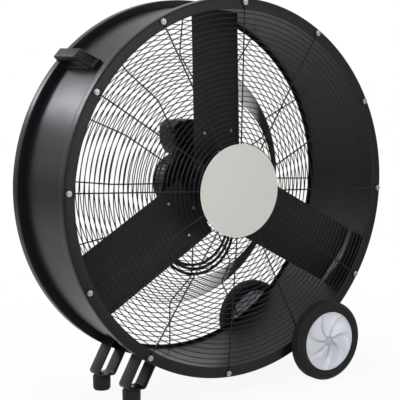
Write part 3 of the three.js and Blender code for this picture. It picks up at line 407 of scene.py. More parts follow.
def curve_through(points, per_span):
    """Points of a smooth curve through the given ones."""
    route = []
    for i in range(len(points) - 1):
        p0, p1 = points[max(i - 1, 0)], points[i]
        p2, p3 = points[i + 1], points[min(i + 2, len(points) - 1)]
        for k in range(per_span):
            t = k / per_span
            bend = 2 * p0 - 5 * p1 + 4 * p2 - p3
            twist = 3 * p1 - p0 - 3 * p2 + p3
            route.append(0.5 * (2 * p1 + (p2 - p0) * t + bend * t * t + twist * t ** 3))
    return [*route, points[-1]]


def finish_piece(name, bm, body, slot, replaced=(), smooth=32, material=None):
    """Turns a bmesh into a piece that rides on a body."""
    bmesh.ops.recalc_face_normals(bm, faces=bm.faces)
    mesh = bpy.data.meshes.new(name)
    bm.to_mesh(mesh)
    bm.free()
    mesh.shade_smooth()
    mesh.set_sharp_from_angle(angle=math.radians(smooth))
    mesh.materials.append(material or finish_of(slot))
    piece = bpy.data.objects.new(name, mesh)
    bpy.context.scene.collection.objects.link(piece)
    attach(piece, body)
    if replaced:
        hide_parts(*replaced)
    return piece


def from_node(node):
    """A CAD node's solid as a merged bmesh with whole flat faces."""
    bm = bmesh.new()
    bm.from_mesh(frame["nodes"][node].data)
    bmesh.ops.remove_doubles(bm, verts=bm.verts, dist=MERGE)
    bmesh.ops.dissolve_limit(bm, angle_limit=math.radians(1), verts=bm.verts, edges=bm.edges)
    return bm


def softened(name, node, slot, width, segments=2, least=40, smooth=32):
    """A piece of the drum made from its CAD solid, its sharp edges rounded."""
    bm = from_node(node)
    bevel_sharp(bm, width, segments, least)
    return finish_piece(name, bm, "drum", slot, [node], smooth)


def turned_piece(name, node, body, slot, profile, steps=64, centre=AXIS, smooth=35, closed=True):
    """A piece spun about the drum's axis, or about another centre, that
    replaces a CAD node."""
    bm = bmesh.new()
    spin(bm, profile, centre, steps, closed)
    return finish_piece(name, bm, body, slot, [node], smooth)


def facing_back(x, y, z):
    """The place of a screw whose head faces +Y."""
    return Matrix.Translation((x, y, z)) @ Matrix.Rotation(math.pi, 4, "Z")


def turn_about_axis(angle):
    """A turn about the drum's axis."""
    move = Matrix.Translation(AXIS)
    return move @ Matrix.Rotation(angle, 4, "Y") @ move.inverted()


def screw_head(bm, place, radius, height, washer=0.0):
    """A pan head with a crossed recess, its seat at place and its top along
    that matrix's -Y."""
    head = bmesh.new()
    rise = washer and 1.4 * MM
    top = -(height + rise)
    flat = radius * 0.62
    side = eased([(0, 0), (radius, 0), (radius, top, height * 0.9), (flat, top)], closed=False, steps=5)
    if washer:
        side = [(0, 0), (washer, 0), (washer, -rise), (radius, -rise), *side[2:]]
    spin(head, side, steps=20, closed=False)
    rim = [e for e in head.edges if e.is_boundary]
    arm, half = flat * 0.78, flat * 0.24
    corners = [(arm, half), (half, half), (half, arm)]
    cross = []
    for quarter in range(4):
        quarter_turn = Matrix.Rotation(quarter * math.pi / 2, 2)
        cross += [quarter_turn @ Vector(c) for c in corners]
    verts = [head.verts.new((x, top, z)) for x, z in cross]
    edges = [head.edges.new(pair) for pair in zip(verts, verts[1:] + verts[:1])]
    bmesh.ops.triangle_fill(head, edges=rim + edges, use_beauty=True)
    made = bmesh.ops.extrude_edge_only(head, edges=edges)
    deep = made_verts(made)
    bmesh.ops.translate(head, vec=(0, height * 0.8, 0), verts=deep)
    bmesh.ops.contextual_create(head, geom=edges_within(made, deep))
    transform(head, place)
    merge_into(bm, head)


def hex_head(bm, place, radius, height, washer=0.0):
    """A six-sided bolt head on a washer, its top along the matrix's -Y."""
    head = bmesh.new()
    rise = washer and 1.5 * MM
    if washer:
        spin(head, ring_section(0, washer, 0, -rise), steps=24, closed=False)
    angles = [math.tau * i / 6 for i in range(6)]
    outline = [(radius * math.cos(a), radius * math.sin(a)) for a in angles]
    prism(head, outline, -rise, -rise - height)
    bevel_sharp(head, 0.5 * MM)
    transform(head, place)
    merge_into(bm, head)


def merge_into(bm, other):
    """Adds another bmesh's solid to this one, and frees the other."""
    bmesh.ops.recalc_face_normals(other, faces=other.faces)
    mesh = bpy.data.meshes.new("part_of_piece")
    other.to_mesh(mesh)
    other.free()
    bm.from_mesh(mesh)
    bpy.data.meshes.remove(mesh)


# ---- drum ---------------------------------------------------------------
RIM_FLANGE = 34 * MM
RIM_HEM = 7 * MM


def drum_sheet(sizes):
    """The rolled wall of the drum."""
    low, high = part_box("drum_shell")
    section = ring_section(high.x - sizes.drum_sheet, high.x, low.y, high.y)
    return turned_piece("drum_sheet", "drum_shell", "drum", "drum_steel", section, sizes.drum_steps,
                        smooth=32)


def rolled_rim(sizes, node, name, outwards):
    """A rim with rounded bends and a hemmed inner edge, open to the drum."""
    low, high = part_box(node)
    outer = high.x
    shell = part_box("drum_shell")[1].x + CLEARANCE
    lip = outer - RIM_FLANGE
    hem = lip + RIM_HEM
    t = sizes.drum_sheet
    face = low.y if outwards < 0 else high.y
    width = high.y - low.y
    bend = sizes.rim_bend
    profile = [
        (lip, 0, t), (outer, 0, bend), (outer, width, bend * 0.7), (shell, width),
        (shell, width - t), (outer - t, width - t, bend * 0.4), (outer - t, t, bend * 0.7),
        (hem, t), (hem, 2.2 * t), (lip, 2.2 * t, t),
    ]
    placed = [(r, face - outwards * depth, *ease) for r, depth, *ease in profile]
    return turned_piece(name, node, "drum", "drum_steel", placed, sizes.drum_steps, smooth=32)


# ---- guards -------------------------------------------------------------
EYE_POINTS = 15
# The eye starts and ends at the neck, so it goes less than all the way round.
EYE_START = math.radians(-150)
EYE_SWEEP = math.radians(320)
BEND_REACH = 14 * MM


def walk(path, start, pitch):
    """Places at even steps along a path of (radius, y) points, with the way
    that the path runs there."""
    places = []
    left = start
    for a, b in zip(path, path[1:]):
        step = b - a
        length = step.length
        while left <= length:
            places.append((a + step * (left / length), step.normalized()))
            left += pitch
        left -= length
    return places


def wire_guard(sizes, name, node, path, facing):
    """Rings of wire behind spokes that end in an eye round each screw."""
    bm = bmesh.new()
    wire = sizes.guard_wire
    spoke = sizes.spoke_wire
    stack = (wire + spoke) * 0.93
    for place, along in walk(path, sizes.screw_circle - sizes.outer_ring, sizes.ring_pitch):
        normal = Vector((-along.y, along.x)) * facing
        centre = place + normal * stack
        matrix = Matrix.Translation((AXIS.x + centre.x, centre.y, AXIS.z))
        bmesh.ops.create_circle(bm, segments=6, radius=wire, matrix=matrix)
    full_spin(bm, bm.verts[:] + bm.edges[:], AXIS, sizes.ring_steps)
    spokes = bmesh.new()
    sweep(spokes, spoke_route(sizes, path), spoke, 8)
    repeat_round(spokes, SPOKES, -SPOKE_TURN)
    merge_into(bm, spokes)
    return finish_piece(name, bm, "drum", "guard_wire", [node], smooth=60)


def spoke_route(sizes, path):
    """One spoke's middle line: an eye round its screw, then in along the
    path with a rounded bend at each corner."""
    eye = sizes.eye_radius
    centre = path[0]
    loop = []
    for i in range(EYE_POINTS):
        angle = EYE_START + EYE_SWEEP * i / (EYE_POINTS - 1)
        loop.append(Vector((centre.x + eye * math.cos(angle), centre.y, eye * math.sin(angle))))
    neck = Vector((centre.x - eye * 1.6, centre.y, 0.0))
    bends = [(centre.x - eye * 2.4, centre.y)]
    bends += [(p.x, p.y, BEND_REACH) for p in path[1:]]
    straight = [Vector((p.x, p.y, 0.0)) for p in eased(bends, closed=False)]
    return [Vector((AXIS.x + p.x, p.y, AXIS.z + p.z)) for p in (*loop, neck, *straight)]


def guard_screws(sizes, name, y, facing):
    """The pan-head screws and washers of one guard."""
    bm = bmesh.new()
    spot = (AXIS.x + sizes.screw_circle, y, AXIS.z)
    seat = facing_back(*spot) if facing > 0 else Matrix.Translation(spot)
    screw_head(bm, seat, sizes.screw_head, sizes.screw_head * 0.55, sizes.screw_head * 1.35)
    repeat_round(bm, SPOKES, -SPOKE_TURN)
    return finish_piece(name, bm, "drum", "bright_steel", smooth=40)


def screw_tips(sizes):
    """The threaded ends of the rear screws, inside the rear rim."""
    bm = bmesh.new()
    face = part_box("rear_rim")[1].y
    start, stop = face - sizes.drum_sheet * 2, face - 14 * MM
    r = 2.6 * MM
    side = [(0, start), (r, start), (r, stop), (r * 0.6, stop - MM), (0, stop - MM)]
    spin(bm, side, steps=10, closed=False)
    bmesh.ops.translate(bm, vec=(AXIS.x + sizes.screw_circle, 0, AXIS.z), verts=bm.verts)
    repeat_round(bm, SPOKES, -SPOKE_TURN)
    return finish_piece("rear_screw_tips", bm, "drum", "bright_steel", smooth=40)


def crowned_disc(sizes):
    """The pressed disc in the middle of the front guard."""
    low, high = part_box("centre_disc")
    radius = high.x
    crown = high.y - low.y
    face = [(radius * k / 12, low.y + 0.78 * crown * (k / 12) ** 2) for k in range(12)]
    edge = [(radius, low.y + 0.62 * crown, 3 * MM), (radius, high.y, MM), (radius - 3 * MM, high.y)]
    back = [(r, y + sizes.disc_sheet) for r, y in reversed(face[:11])]
    return turned_piece("disc_cover", "centre_disc", "drum", "disc_grey", [*face, *edge, *back], 160,
                        smooth=50, closed=False)


# ---- rotor --------------------------------------------------------------
ROTOR_PLACE = -76 * MM
BLADE_PITCH = math.radians(11)
BLADE_TURN = math.radians(91)
BLADES = 3
ARM_SHEET = 4 * MM
ARM_START, ARM_END, ARM_HALF_WIDTH = 20 * MM, 182 * MM, 62 * MM
BOSS_RADIUS, BOSS_HALF_LENGTH = 34 * MM, 23 * MM
SHAFT_BORE = 10.3 * MM
# Each blade's rivets: how far out along it, and how far across.
RIVETS = ((107 * MM, 0), (167 * MM, 56 * MM), (167 * MM, -56 * MM))


def blade_point(sizes, along, across, lift):
    """A point of a blade that lies along +X: across is the distance round
    the camber from its middle, and lift the distance behind its front. Past
    a blade's length, along stops at the circle of the tips."""
    radius = sizes.blade_camber - lift
    angle = across / sizes.blade_camber
    flat = Vector((0, sizes.blade_camber - radius * math.cos(angle), -radius * math.sin(angle)))
    point = Matrix.Rotation(BLADE_PITCH, 3, "X") @ flat
    reach = math.sqrt(sizes.blade_tip ** 2 - point.z ** 2)
    return Vector((min(along, reach), point.y + ROTOR_PLACE, point.z))


def cambered(bm, sizes, low, high):
    """A solid that follows the blades' camber between two corners of
    (along, across, lift)."""
    sheet = bmesh.new()
    bmesh.ops.create_grid(sheet, x_segments=24, y_segments=16, size=0.5)
    raised = made_verts(bmesh.ops.extrude_face_region(sheet, geom=sheet.faces[:]))
    bmesh.ops.translate(sheet, vec=(0, 0, 1), verts=raised)
    low, high = Vector(low), Vector(high)
    shift = Vector((0.5, 0.5, 0))
    for v in sheet.verts:
        at = low + (high - low) * (v.co + shift)
        v.co = AXIS + blade_point(sizes, at.x, at.y, at.z)
    merge_into(bm, sheet)


def blade(sizes, index):
    """One blade: the cambered sheet and the hems folded along its edges."""
    half = sizes.blade_chord / 2
    root, tip = sizes.blade_root, sizes.blade_tip
    hem = sizes.hem_width
    t = sizes.blade_sheet
    bm = bmesh.new()
    cambered(bm, sizes, (root, -half, 0), (tip, half, t))
    for first, last in ((-half, hem - half), (half - hem, half)):
        cambered(bm, sizes, (root + hem, first, -0.9 * t), (tip, last, -0.05 * t))
    transform(bm, turn_about_axis(-BLADE_TURN - math.tau * index / BLADES))
    number = str(index + 1)
    return finish_piece("blade_sheet_" + number, bm, "rotor", "blade_steel", ["blade_" + number])


def blade_rivets(sizes):
    """Domed rivets that hold the blades to the hub's arms, front and back."""
    bm = bmesh.new()
    r = sizes.rivet_radius
    dome = eased([(0, 0), (r, 0), (r, -0.6 * r, 0.5 * r), (0, -0.6 * r)], closed=False, steps=5)
    behind = sizes.blade_sheet + CLEARANCE + ARM_SHEET
    for along, across in RIVETS:
        front = blade_point(sizes, along, across, 0.0)
        back = blade_point(sizes, along, across, behind)
        out = (front - back).normalized()
        for seat, way in ((front, out), (back, -out)):
            rivet = bmesh.new()
            spin(rivet, dome, steps=16, closed=False)
            matrix = (-way).to_track_quat("Y", "Z").to_matrix().to_4x4()
            matrix.translation = AXIS + seat
            transform(rivet, matrix)
            merge_into(bm, rivet)
    repeat_round(bm, BLADES, -BLADE_TURN)
    return finish_piece("blade_rivets", bm, "rotor", "bright_steel", smooth=40)


def rotor_spider(sizes):
    """The hub: a turned boss and three cambered arms behind the blades."""
    bm = bmesh.new()
    start = sizes.blade_sheet + CLEARANCE
    cambered(bm, sizes, (ARM_START, -ARM_HALF_WIDTH, start), (ARM_END, ARM_HALF_WIDTH, start + ARM_SHEET))
    repeat_round(bm, BLADES, -BLADE_TURN)
    boss = bmesh.new()
    low, high = ROTOR_PLACE - BOSS_HALF_LENGTH, ROTOR_PLACE + BOSS_HALF_LENGTH
    spin(boss, ring_section(SHAFT_BORE, BOSS_RADIUS, low, high, 2 * MM, MM), AXIS)
    merge_into(bm, boss)
    return finish_piece("rotor_spider", bm, "rotor", "drum_steel", ["rotor_hub"], smooth=40)


# ---- motor --------------------------------------------------------------
REAR_BELL_STEP = 4 * MM
BOLT_CIRCLE = 62 * MM


def motor_bell(end, way, ring, ease, step, inset, depth):
    """An end bell, in millimetres from its face: a raised ring of a share of
    its radius, a step down, a rounded shoulder, and inside it the bearing's
    seat."""
    node = "motor_" + end + "_bell"
    low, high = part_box(node)
    r, length = high.x / MM, (high.y - low.y) / MM
    wall, hole, bore, skin, seat = 4, 14, 24, 28, 17
    profile = [
        (hole, 2), (hole, 0), (r * ring, 0, ease), (r * 0.56, step, ease), (r - inset, step, 2),
        (r, depth, 5), (r, length), (r - wall, length), (r - wall, depth - 1), (30, depth - 3),
        (skin, seat), (bore, seat), (bore, 2),
    ]
    placed = from_face(low.y if way > 0 else high.y, way, profile)
    turned_piece("motor_bell_" + end, node, "drum", "motor_paint", placed, 96)


def motor_fins(sizes):
    """The stator's shell: a tube with straight cooling fins along it."""
    low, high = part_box("motor_shell")
    outer = high.x
    skin = outer - sizes.fin_height
    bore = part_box("stator")[1].x + CLEARANCE
    bm = bmesh.new()
    spin(bm, ring_section(bore, skin, low.y, high.y), AXIS, 96)
    fin = bmesh.new()
    half = sizes.fin_width / 2
    root, tip = AXIS.x + skin - MM, AXIS.x + outer
    rounded_block(fin, (root, low.y, AXIS.z - half), (tip, high.y, AXIS.z + half), 0.5 * MM)
    repeat_round(fin, sizes.fins)
    merge_into(bm, fin)
    return finish_piece("motor_fins", bm, "drum", "motor_paint", ["motor_shell"])


def motor_bolts():
    """Four through bolts on the rear bell."""
    bm = bmesh.new()
    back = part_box("motor_rear_bell")[1].y - REAR_BELL_STEP
    hex_head(bm, facing_back(AXIS.x + BOLT_CIRCLE, back, AXIS.z), 5 * MM, 3.5 * MM)
    repeat_round(bm, 4, math.radians(45))
    return finish_piece("motor_bolts", bm, "drum", "bright_steel")


def motor_inside():
    """The pieces within the motor, turned round with more steps."""
    ease = 0.8 * MM
    for node, body, slot, bore in (
        ("motor_plate", "drum", "drum_steel", 14 * MM), ("stator", "drum", "stator_core", 46 * MM),
        ("front_bearing", "drum", "bright_steel", SHAFT_BORE),
        ("rear_bearing", "drum", "bright_steel", SHAFT_BORE),
        ("rotor_core", "rotor", "bright_steel", SHAFT_BORE),
    ):
        low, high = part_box(node)
        section = ring_section(bore, high.x, low.y, high.y, ease, ease)
        turned_piece(node + "_turned", node, body, slot, section)
    low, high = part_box("motor_shaft")
    r = high.x
    section = [(0, low.y), (r, low.y, 1.5 * MM), (r, high.y, MM), (0, high.y)]
    turned_piece("shaft", "motor_shaft", "rotor", "bright_steel", section, 48, closed=False)


# ---- controls -----------------------------------------------------------
def control_box(sizes):
    """The box over the motor, its cover with four screws, the speed switch and the capacitor."""
    softened("switch_box", "control_box", "black_plastic", sizes.box_round, 3, 35)
    softened("switch_box_cover", "box_cover", "black_plastic", 0.7 * MM)
    softened("speed_switch_body", "speed_switch", "black_plastic", 0.8 * MM, least=35)
    softened("capacitor_body", "capacitor", "bright_steel", 0.8 * MM, least=35)
    low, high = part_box("box_cover")
    bm = bmesh.new()
    for x, z in ((-50, 62), (50, 62), (-32, 8), (32, 8)):
        screw_head(bm, facing_back(AXIS.x + x * MM, high.y, low.z + z * MM), 3.6 * MM, 2.2 * MM)
    finish_piece("cover_screws", bm, "drum", "bright_steel")


def dial_marks():
    """Printed marks round the knob: a ring for off, then one bar and two."""
    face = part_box("box_cover")[1].y
    top = face + 0.2 * MM
    reach = Vector((0, 0, 27 * MM))
    ring, hole = 3.2 * MM, 2.3 * MM
    half, tall, gap = 0.5 * MM, 3 * MM, 2.6 * MM
    bm = bmesh.new()
    for bars, degrees in ((0, 0), (1, 45), (2, 90)):
        centre = KNOB + Matrix.Rotation(math.radians(degrees), 3, "Y") @ reach
        if not bars:
            spin(bm, ring_section(hole, ring, face, top), centre, 24)
        for i in range(bars):
            x = centre.x + (i - (bars - 1) / 2) * gap
            slab(bm, (x - half, face, centre.z - tall), (x + half, top, centre.z + tall))
    finish_piece("dial_marks", bm, "drum", "black_plastic", material=finish_of("dial_mark"))


def speed_knob():
    """The knob: a skirt, a bar grip with rounded ends, and its pointer."""
    low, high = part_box("speed_knob")
    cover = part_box("box_cover")[1].y
    foot = cover + CLEARANCE
    skirt = [(0, 0), (19, 0, 0.5), (19, 3), (16, 7, 1.5), (0, 7)]
    bm = bmesh.new()
    spin(bm, from_face(foot, 1, skirt), KNOB, closed=False)
    half, reach = 4 * MM, 16.5 * MM
    rounded_block(bm, (KNOB.x - half, foot + 2 * MM, KNOB.z - reach), (KNOB.x + half, high.y, KNOB.z + reach),
                  2 * MM, 4)
    stem = bmesh.new()
    spin(stem, ring_section(0, 3 * MM, low.y, foot + MM), KNOB, 24, closed=False)
    merge_into(bm, stem)
    finish_piece("dial_knob", bm, "knob", "black_plastic", ["speed_knob"])
    bm = bmesh.new()
    half = 0.7 * MM
    slab(bm, (KNOB.x - half, high.y - 0.1 * MM, KNOB.z + 5 * MM),
         (KNOB.x + half, high.y + 0.2 * MM, KNOB.z + 14 * MM))
    finish_piece("knob_pointer", bm, "knob", "black_plastic", material=finish_of("dial_mark"))


# ---- mains lead ---------------------------------------------------------
CORD_RADIUS = 4.5 * MM
LOOP_LOW = Vector((14 * MM, 0, -137 * MM))
LOOP_LOW_RADIUS = 125 * MM
# Half of a step round the loops' top, whose straight runs have to clear the bell.
TOP_HALF_STEP = math.radians(8)
LOOP_TOP_RADIUS = (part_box("motor_front_bell")[1].x + CLEARANCE + CORD_RADIUS) / math.cos(TOP_HALF_STEP)
LOOP_HALF_STEPS = 12
FIRST_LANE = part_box("motor_front_bell")[0].y + CORD_RADIUS + CLEARANCE
LANE_STEP = 10.2 * MM
LAYER_STEP = 9.6 * MM
LOOP_SPREAD = 11 * MM
LOW_ANGLE = math.atan2(LOOP_LOW.z, LOOP_LOW.x)
LEAN = math.acos((LOOP_TOP_RADIUS - LOOP_LOW_RADIUS) / LOOP_LOW.length)
RIGHT_NORMAL = LOW_ANGLE + LEAN
LEFT_NORMAL = LOW_ANGLE - LEAN
LANES = [(2 * LANE_STEP, 0), (LANE_STEP, 0), (0.0, 0), (LANE_STEP / 2, 1)]
RELIEF_LENGTH = 30 * MM


def outward(angle):
    """The way out from the axis at an angle from +X towards +Z."""
    return Vector((math.cos(angle), 0, math.sin(angle)))


DOWN_RUN = outward(RIGHT_NORMAL - math.pi / 2)


def coil_route():
    """The loops that hang over the motor, from the drum's axis."""
    points = []
    for turn in range(len(LANES) - 1):
        (from_y, from_layer), (to_y, to_layer) = LANES[turn], LANES[turn + 1]
        for i in range(LOOP_HALF_STEPS + 1):
            t = i / LOOP_HALF_STEPS
            layer = from_layer + (to_layer - from_layer) * t
            sag = turn * LOOP_SPREAD * math.sin(math.pi * t)
            radius = LOOP_LOW_RADIUS + layer * LAYER_STEP + sag
            point = LOOP_LOW + outward(RIGHT_NORMAL + (LEFT_NORMAL - RIGHT_NORMAL) * t) * radius
            point.y = FIRST_LANE + from_y + (to_y - from_y) * t
            points.append(point)
        high = LOOP_HALF_STEPS - 2
        for i in range(high + 1):
            angle = LEFT_NORMAL + (RIGHT_NORMAL - math.tau - LEFT_NORMAL) * i / high
            point = outward(angle) * (LOOP_TOP_RADIUS + to_layer * LAYER_STEP)
            point.y = FIRST_LANE + to_y
            points.append(point)
    return [points[0] - DOWN_RUN * 2 * CORD_RADIUS, *points, points[-1] + DOWN_RUN * 2 * CORD_RADIUS]


def cord_route():
    """The whole cord, from the strain relief to the plug, in world places."""
    coil = coil_route()
    start = relief_foot() - AXIS + Vector((RELIEF_LENGTH + CLEARANCE, 0, 0))
    steps = ((10, 0, 0), (26, -1, -6), (38, -5, -24), (42, -11, -52), (39, -18, -90))
    lead = [start, *[start + Vector(s) * MM for s in steps]]
    lead.append(Vector((127 * MM, FIRST_LANE + 22 * MM, 5 * MM)))
    lead.append(Vector((119 * MM, FIRST_LANE + LANES[0][0], -40 * MM)))
    lead.append(coil[0] - DOWN_RUN * 2 * CORD_RADIUS)
    tail = [coil[-1] + DOWN_RUN * (12 * MM), coil[-1] + DOWN_RUN * (42 * MM)]
    aside = outward(RIGHT_NORMAL) * 9 * MM
    tail += [coil[-1] + DOWN_RUN * (62 * MM) + aside * 0.5, coil[-1] + DOWN_RUN * (82 * MM) + aside]
    tail.append(coil[-1] + DOWN_RUN * (92.3 * MM) + aside)
    return [AXIS + p for p in curve_through([*lead, *coil, *tail], 5)]


def relief_foot():
    """The middle of the strain relief's face on the box."""
    low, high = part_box("strain_relief")
    return Vector((low.x, (low.y + high.y) / 2, (low.z + high.z) / 2))


def strain_relief():
    """The moulded sleeve that the cord leaves the box through: a flange, then
    a ribbed taper."""
    outline = [(0, 0), (12, 0, 0.8), (12, 5, 1.5), (9, 5)]
    for rib in range(5):
        at = 7 + rib * 4.4
        r = 9 - 3.1 * (at - 5) / 25
        outline += [(r, at, 0.5), (r - 1.3, at + 0.6, 0.5), (r - 1.3, at + 1.8, 0.5),
                    (r - 0.3, at + 2.4, 0.5)]
    outline += [(5.6, 30, 0.5), (4.4, 30), (4.4, 26), (0, 26)]
    bm = bmesh.new()
    spin(bm, from_face(0, 1, outline), steps=32, closed=False)
    transform(bm, Matrix.Translation(relief_foot()) @ Matrix.Rotation(-math.pi / 2, 4, "Z"))
    return finish_piece("cord_sleeve", bm, "drum", "black_plastic", ["strain_relief"], smooth=50)


def plug_place():
    """Where the plug's boot starts, with its length along local Y."""
    matrix = Matrix.Rotation(-RIGHT_NORMAL, 4, "Y") @ Matrix.Rotation(-math.pi / 2, 4, "X")
    matrix.translation = cord_route()[-1]
    return matrix


def mains_plug():
    """The moulded plug: a ribbed boot, a rounded body, and its three pins."""
    boot = [(0, 0), (5.5, 0, 0.8)]
    for rib in range(4):
        at = 2.5 + rib * 4.2
        r = 6 + at * 0.1
        boot += [(r, at, 0.4), (r - 1, at + 0.5, 0.4), (r - 1, at + 1.7, 0.4), (r + 0.2, at + 2.2, 0.4)]
    boot += [(8, 20), (0, 20)]
    bm = bmesh.new()
    spin(bm, from_face(0, 1, boot), steps=32, closed=False)
    rounded_block(bm, Vector((-10, 19, -9.5)) * MM, Vector((10, 52, 9.5)) * MM, 3 * MM, 4)
    transform(bm, plug_place())
    cover = finish_piece("plug_body", bm, "drum", "black_plastic", ["mains_plug"])
    bm = bmesh.new()
    for low, high in (
        ((-6.9, 51, -3.2), (-5.4, 69, 3.2)), ((5.4, 51, -3.2), (6.9, 69, 3.2)),
        ((-2, 51, 4), (2, 71, 8)),
    ):
        rounded_block(bm, Vector(low) * MM, Vector(high) * MM, 0.5 * MM)
    transform(bm, plug_place())
    pins = finish_piece("plug_pins", bm, "drum", "bright_steel")
    return cover, pins


def mains_cord():
    """The cord in one length, with its tie, sleeve and plug."""
    path = cord_route()
    bm = bmesh.new()
    sweep(bm, path, CORD_RADIUS, 12)
    cord = finish_piece("mains_cord", bm, "drum", "cord_pvc", ["cord_lead", "cord_coil", "cord_tail"], 60)
    tie = softened("cord_strap", "cord_tie", "cord_pvc", 0.5 * MM)
    strain_relief()
    cover, pins = mains_plug()


# ---- handle and legs ----------------------------------------------------
def carry_handle(sizes):
    """The moulded handle over the drum, its long edges well rounded."""
    return softened("grab_handle", "handle", "black_plastic", sizes.handle_round, 3, 28, 40)


def legs_and_feet():
    """The two U straps with their rubber feet and bolts."""
    for end in ("front", "rear"):
        softened("leg_strap_" + end, "leg_" + end, "drum_steel", 0.8 * MM, smooth=30)
        low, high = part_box("foot_" + end)
        middle = (low + high) / 2
        r, tall, hole = (high.x - low.x) / 2 / MM, (high.z - low.z) / MM, 5.3
        stand = Matrix.Translation((middle.x, middle.y, 0)) @ Matrix.Rotation(math.pi / 2, 4, "X")
        foot = [
            (0, 0), (r - 4, 0, 1), (r - 0.5, 5, 4), (r, tall - 4, 3), (r - 3, tall, 1),
            (hole, tall), (hole, tall - 10), (0, tall - 10),
        ]
        bm = bmesh.new()
        spin(bm, from_face(0, 1, foot), steps=48, closed=False)
        transform(bm, stand)
        finish_piece("rubber_foot_" + end, bm, "drum", "foot_rubber", ["foot_" + end])
        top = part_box("foot_bolt_" + end)[1].z
        bm = bmesh.new()
        seat = Matrix.Translation((middle.x, middle.y, top - 6.5 * MM))
        hex_head(bm, seat @ Matrix.Rotation(-math.pi / 2, 4, "X"), 7 * MM, 4.5 * MM, 8.5 * MM)
        shank = bmesh.new()
        spin(shank, ring_section(0, 5 * MM, (tall - 9) * MM, top - 6 * MM), steps=24, closed=False)
        transform(shank, stand)
        merge_into(bm, shank)
        finish_piece("leg_bolt_" + end, bm, "drum", "bright_steel", ["foot_bolt_" + end])


# ---- wheels -------------------------------------------------------------
PANEL_COLUMNS = 20
# The share of a panel's width over which it rises; the rest is its step down.
PANEL_RAMP = 0.8
PANEL_SWIRL = math.radians(30)
PANEL_SHEET = 5 * MM
WEB_START, WEB_WIDTH = 15 * MM, 74 * MM
AXLE_BORE = 8.3 * MM


def wheel_place(end):
    """Where a wheel goes that is made on the line along Y with its face at +Y."""
    spot = Matrix.Translation((WHEEL.x, 0, WHEEL.z))
    return spot @ Matrix.Rotation(math.pi, 4, "Z") if end == "front" else spot


def tyre(sizes, end):
    """A solid tyre: rounded shoulders, a smooth side, and grooves round its
    tread."""
    low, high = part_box(end + "_tyre")
    r, seat = (high.x - low.x) / 2 / MM, 92.3
    width = sizes.tyre_width / MM
    profile = [(seat, width - 2), (seat + 8, width, 1), (r - 11, width, 4), (r, width - 10, 6)]
    # Each groove: half its width at the tread and at its floor, and its depth.
    half, floor, deep, ease = 1.8, 1.08, 3, 0.5
    for at in (width / 2 + 10, width / 2, width / 2 - 10):
        profile += [(r, at + half, ease), (r - deep, at + floor, ease), (r - deep, at - floor, ease),
                    (r, at - half, ease)]
    profile += [(r, 10, 6), (r - 11, 0, 4), (r - 13, 0, 0.4), (r - 13.6, 0.8, 0.4),
                (r - 14.4, 0.8, 0.4), (r - 15, 0, 0.4), (seat + 8, 0, 1), (seat, 2)]
    bm = bmesh.new()
    spin(bm, from_face(sizes.tyre_face, -1, profile), steps=128)
    transform(bm, wheel_place(end))
    return finish_piece(end + "_wheel_tyre", bm, end + "_wheel", "tyre_rubber", [end + "_tyre"])


def swirled_web(bm, sizes, face):
    """The hub's web: tilted panels that swirl out from the boss, each with a
    soft step down to the next."""
    web = bmesh.new()
    columns = sizes.panels * PANEL_COLUMNS
    bmesh.ops.create_grid(web, x_segments=columns, y_segments=14, size=0.5)
    back = made_verts(bmesh.ops.extrude_face_region(web, geom=web.faces[:]))
    bmesh.ops.translate(web, vec=(0, 0, 1), verts=back)
    for v in web.verts:
        turn, out, behind = v.co.x + 0.5, v.co.y + 0.5, v.co.z
        phase = (turn * sizes.panels) % 1.0
        tilt = min(phase / PANEL_RAMP, (1 - phase) / (1 - PANEL_RAMP))
        swell = math.sin(math.pi * (0.06 + 0.9 * out)) ** 0.6
        radius = WEB_START + WEB_WIDTH * out
        angle = math.tau * turn + PANEL_SWIRL * out ** 1.3
        y = face - MM - sizes.panel_step * swell * (1 - tilt) - PANEL_SHEET * behind
        v.co = Vector((radius * math.cos(angle), y, radius * math.sin(angle)))
    bmesh.ops.remove_doubles(web, verts=web.verts, dist=MERGE)
    merge_into(bm, web)


def wheel_centre(sizes, end):
    """The silver hub: a rim, a boss, and the swirled web between them."""
    face = sizes.tyre_face - 3 * MM
    back = sizes.tyre_width / MM - 5
    rim = [(87, 9), (88, 0.5, 1), (92, 0.5, 1), (92, back, 1), (87, back, 1)]
    boss = [(8.6, 9), (14, 9), (14, 1, 0.5), (16, 1, 0.5), (16, back, 1), (8.6, back)]
    bm = bmesh.new()
    spin(bm, from_face(face, -1, rim), steps=128)
    spin(bm, from_face(face, -1, boss), steps=48)
    swirled_web(bm, sizes, face)
    transform(bm, wheel_place(end))
    return finish_piece(end + "_hub", bm, end + "_wheel", "wheel_plastic", [end + "_wheel_hub"], 38)


def wheel_fittings(sizes, end):
    """A wheel's domed cap, its axle clip and its spacer."""
    cap = [(0, 0), (7.425, 0.6, 3), (13, 4.5, 3), (13.5, 14.7), (12, 14.7), (12, 6), (0, 3)]
    bm = bmesh.new()
    spin(bm, from_face(sizes.tyre_face + 3 * MM, -1, cap), closed=False)
    transform(bm, wheel_place(end))
    finish_piece(end + "_cap", bm, end + "_wheel", "wheel_plastic", [end + "_wheel_cap"], 50,
                 finish_of("cap_plastic"))
    for node, slot in (("axle_clip_" + end, "bright_steel"), ("axle_spacer_" + end, "drum_steel")):
        low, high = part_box(node)
        section = ring_section(AXLE_BORE, (high.z - low.z) / 2, low.y, high.y, 0.4 * MM)
        turned_piece(node + "_ring", node, "drum", slot, section, 48, WHEEL)


def axle_and_brackets():
    """The axle, and the welded channels that hold it."""
    low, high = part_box("axle")
    section = ring_section(0, (high.z - low.z) / 2, low.y, high.y, MM)
    turned_piece("axle_rod", "axle", "drum", "bright_steel", section, 48, WHEEL, closed=False)
    for end in ("front", "rear"):
        softened("wheel_bracket_" + end, "axle_bracket_" + end, "drum_steel", 0.8 * MM, smooth=30)


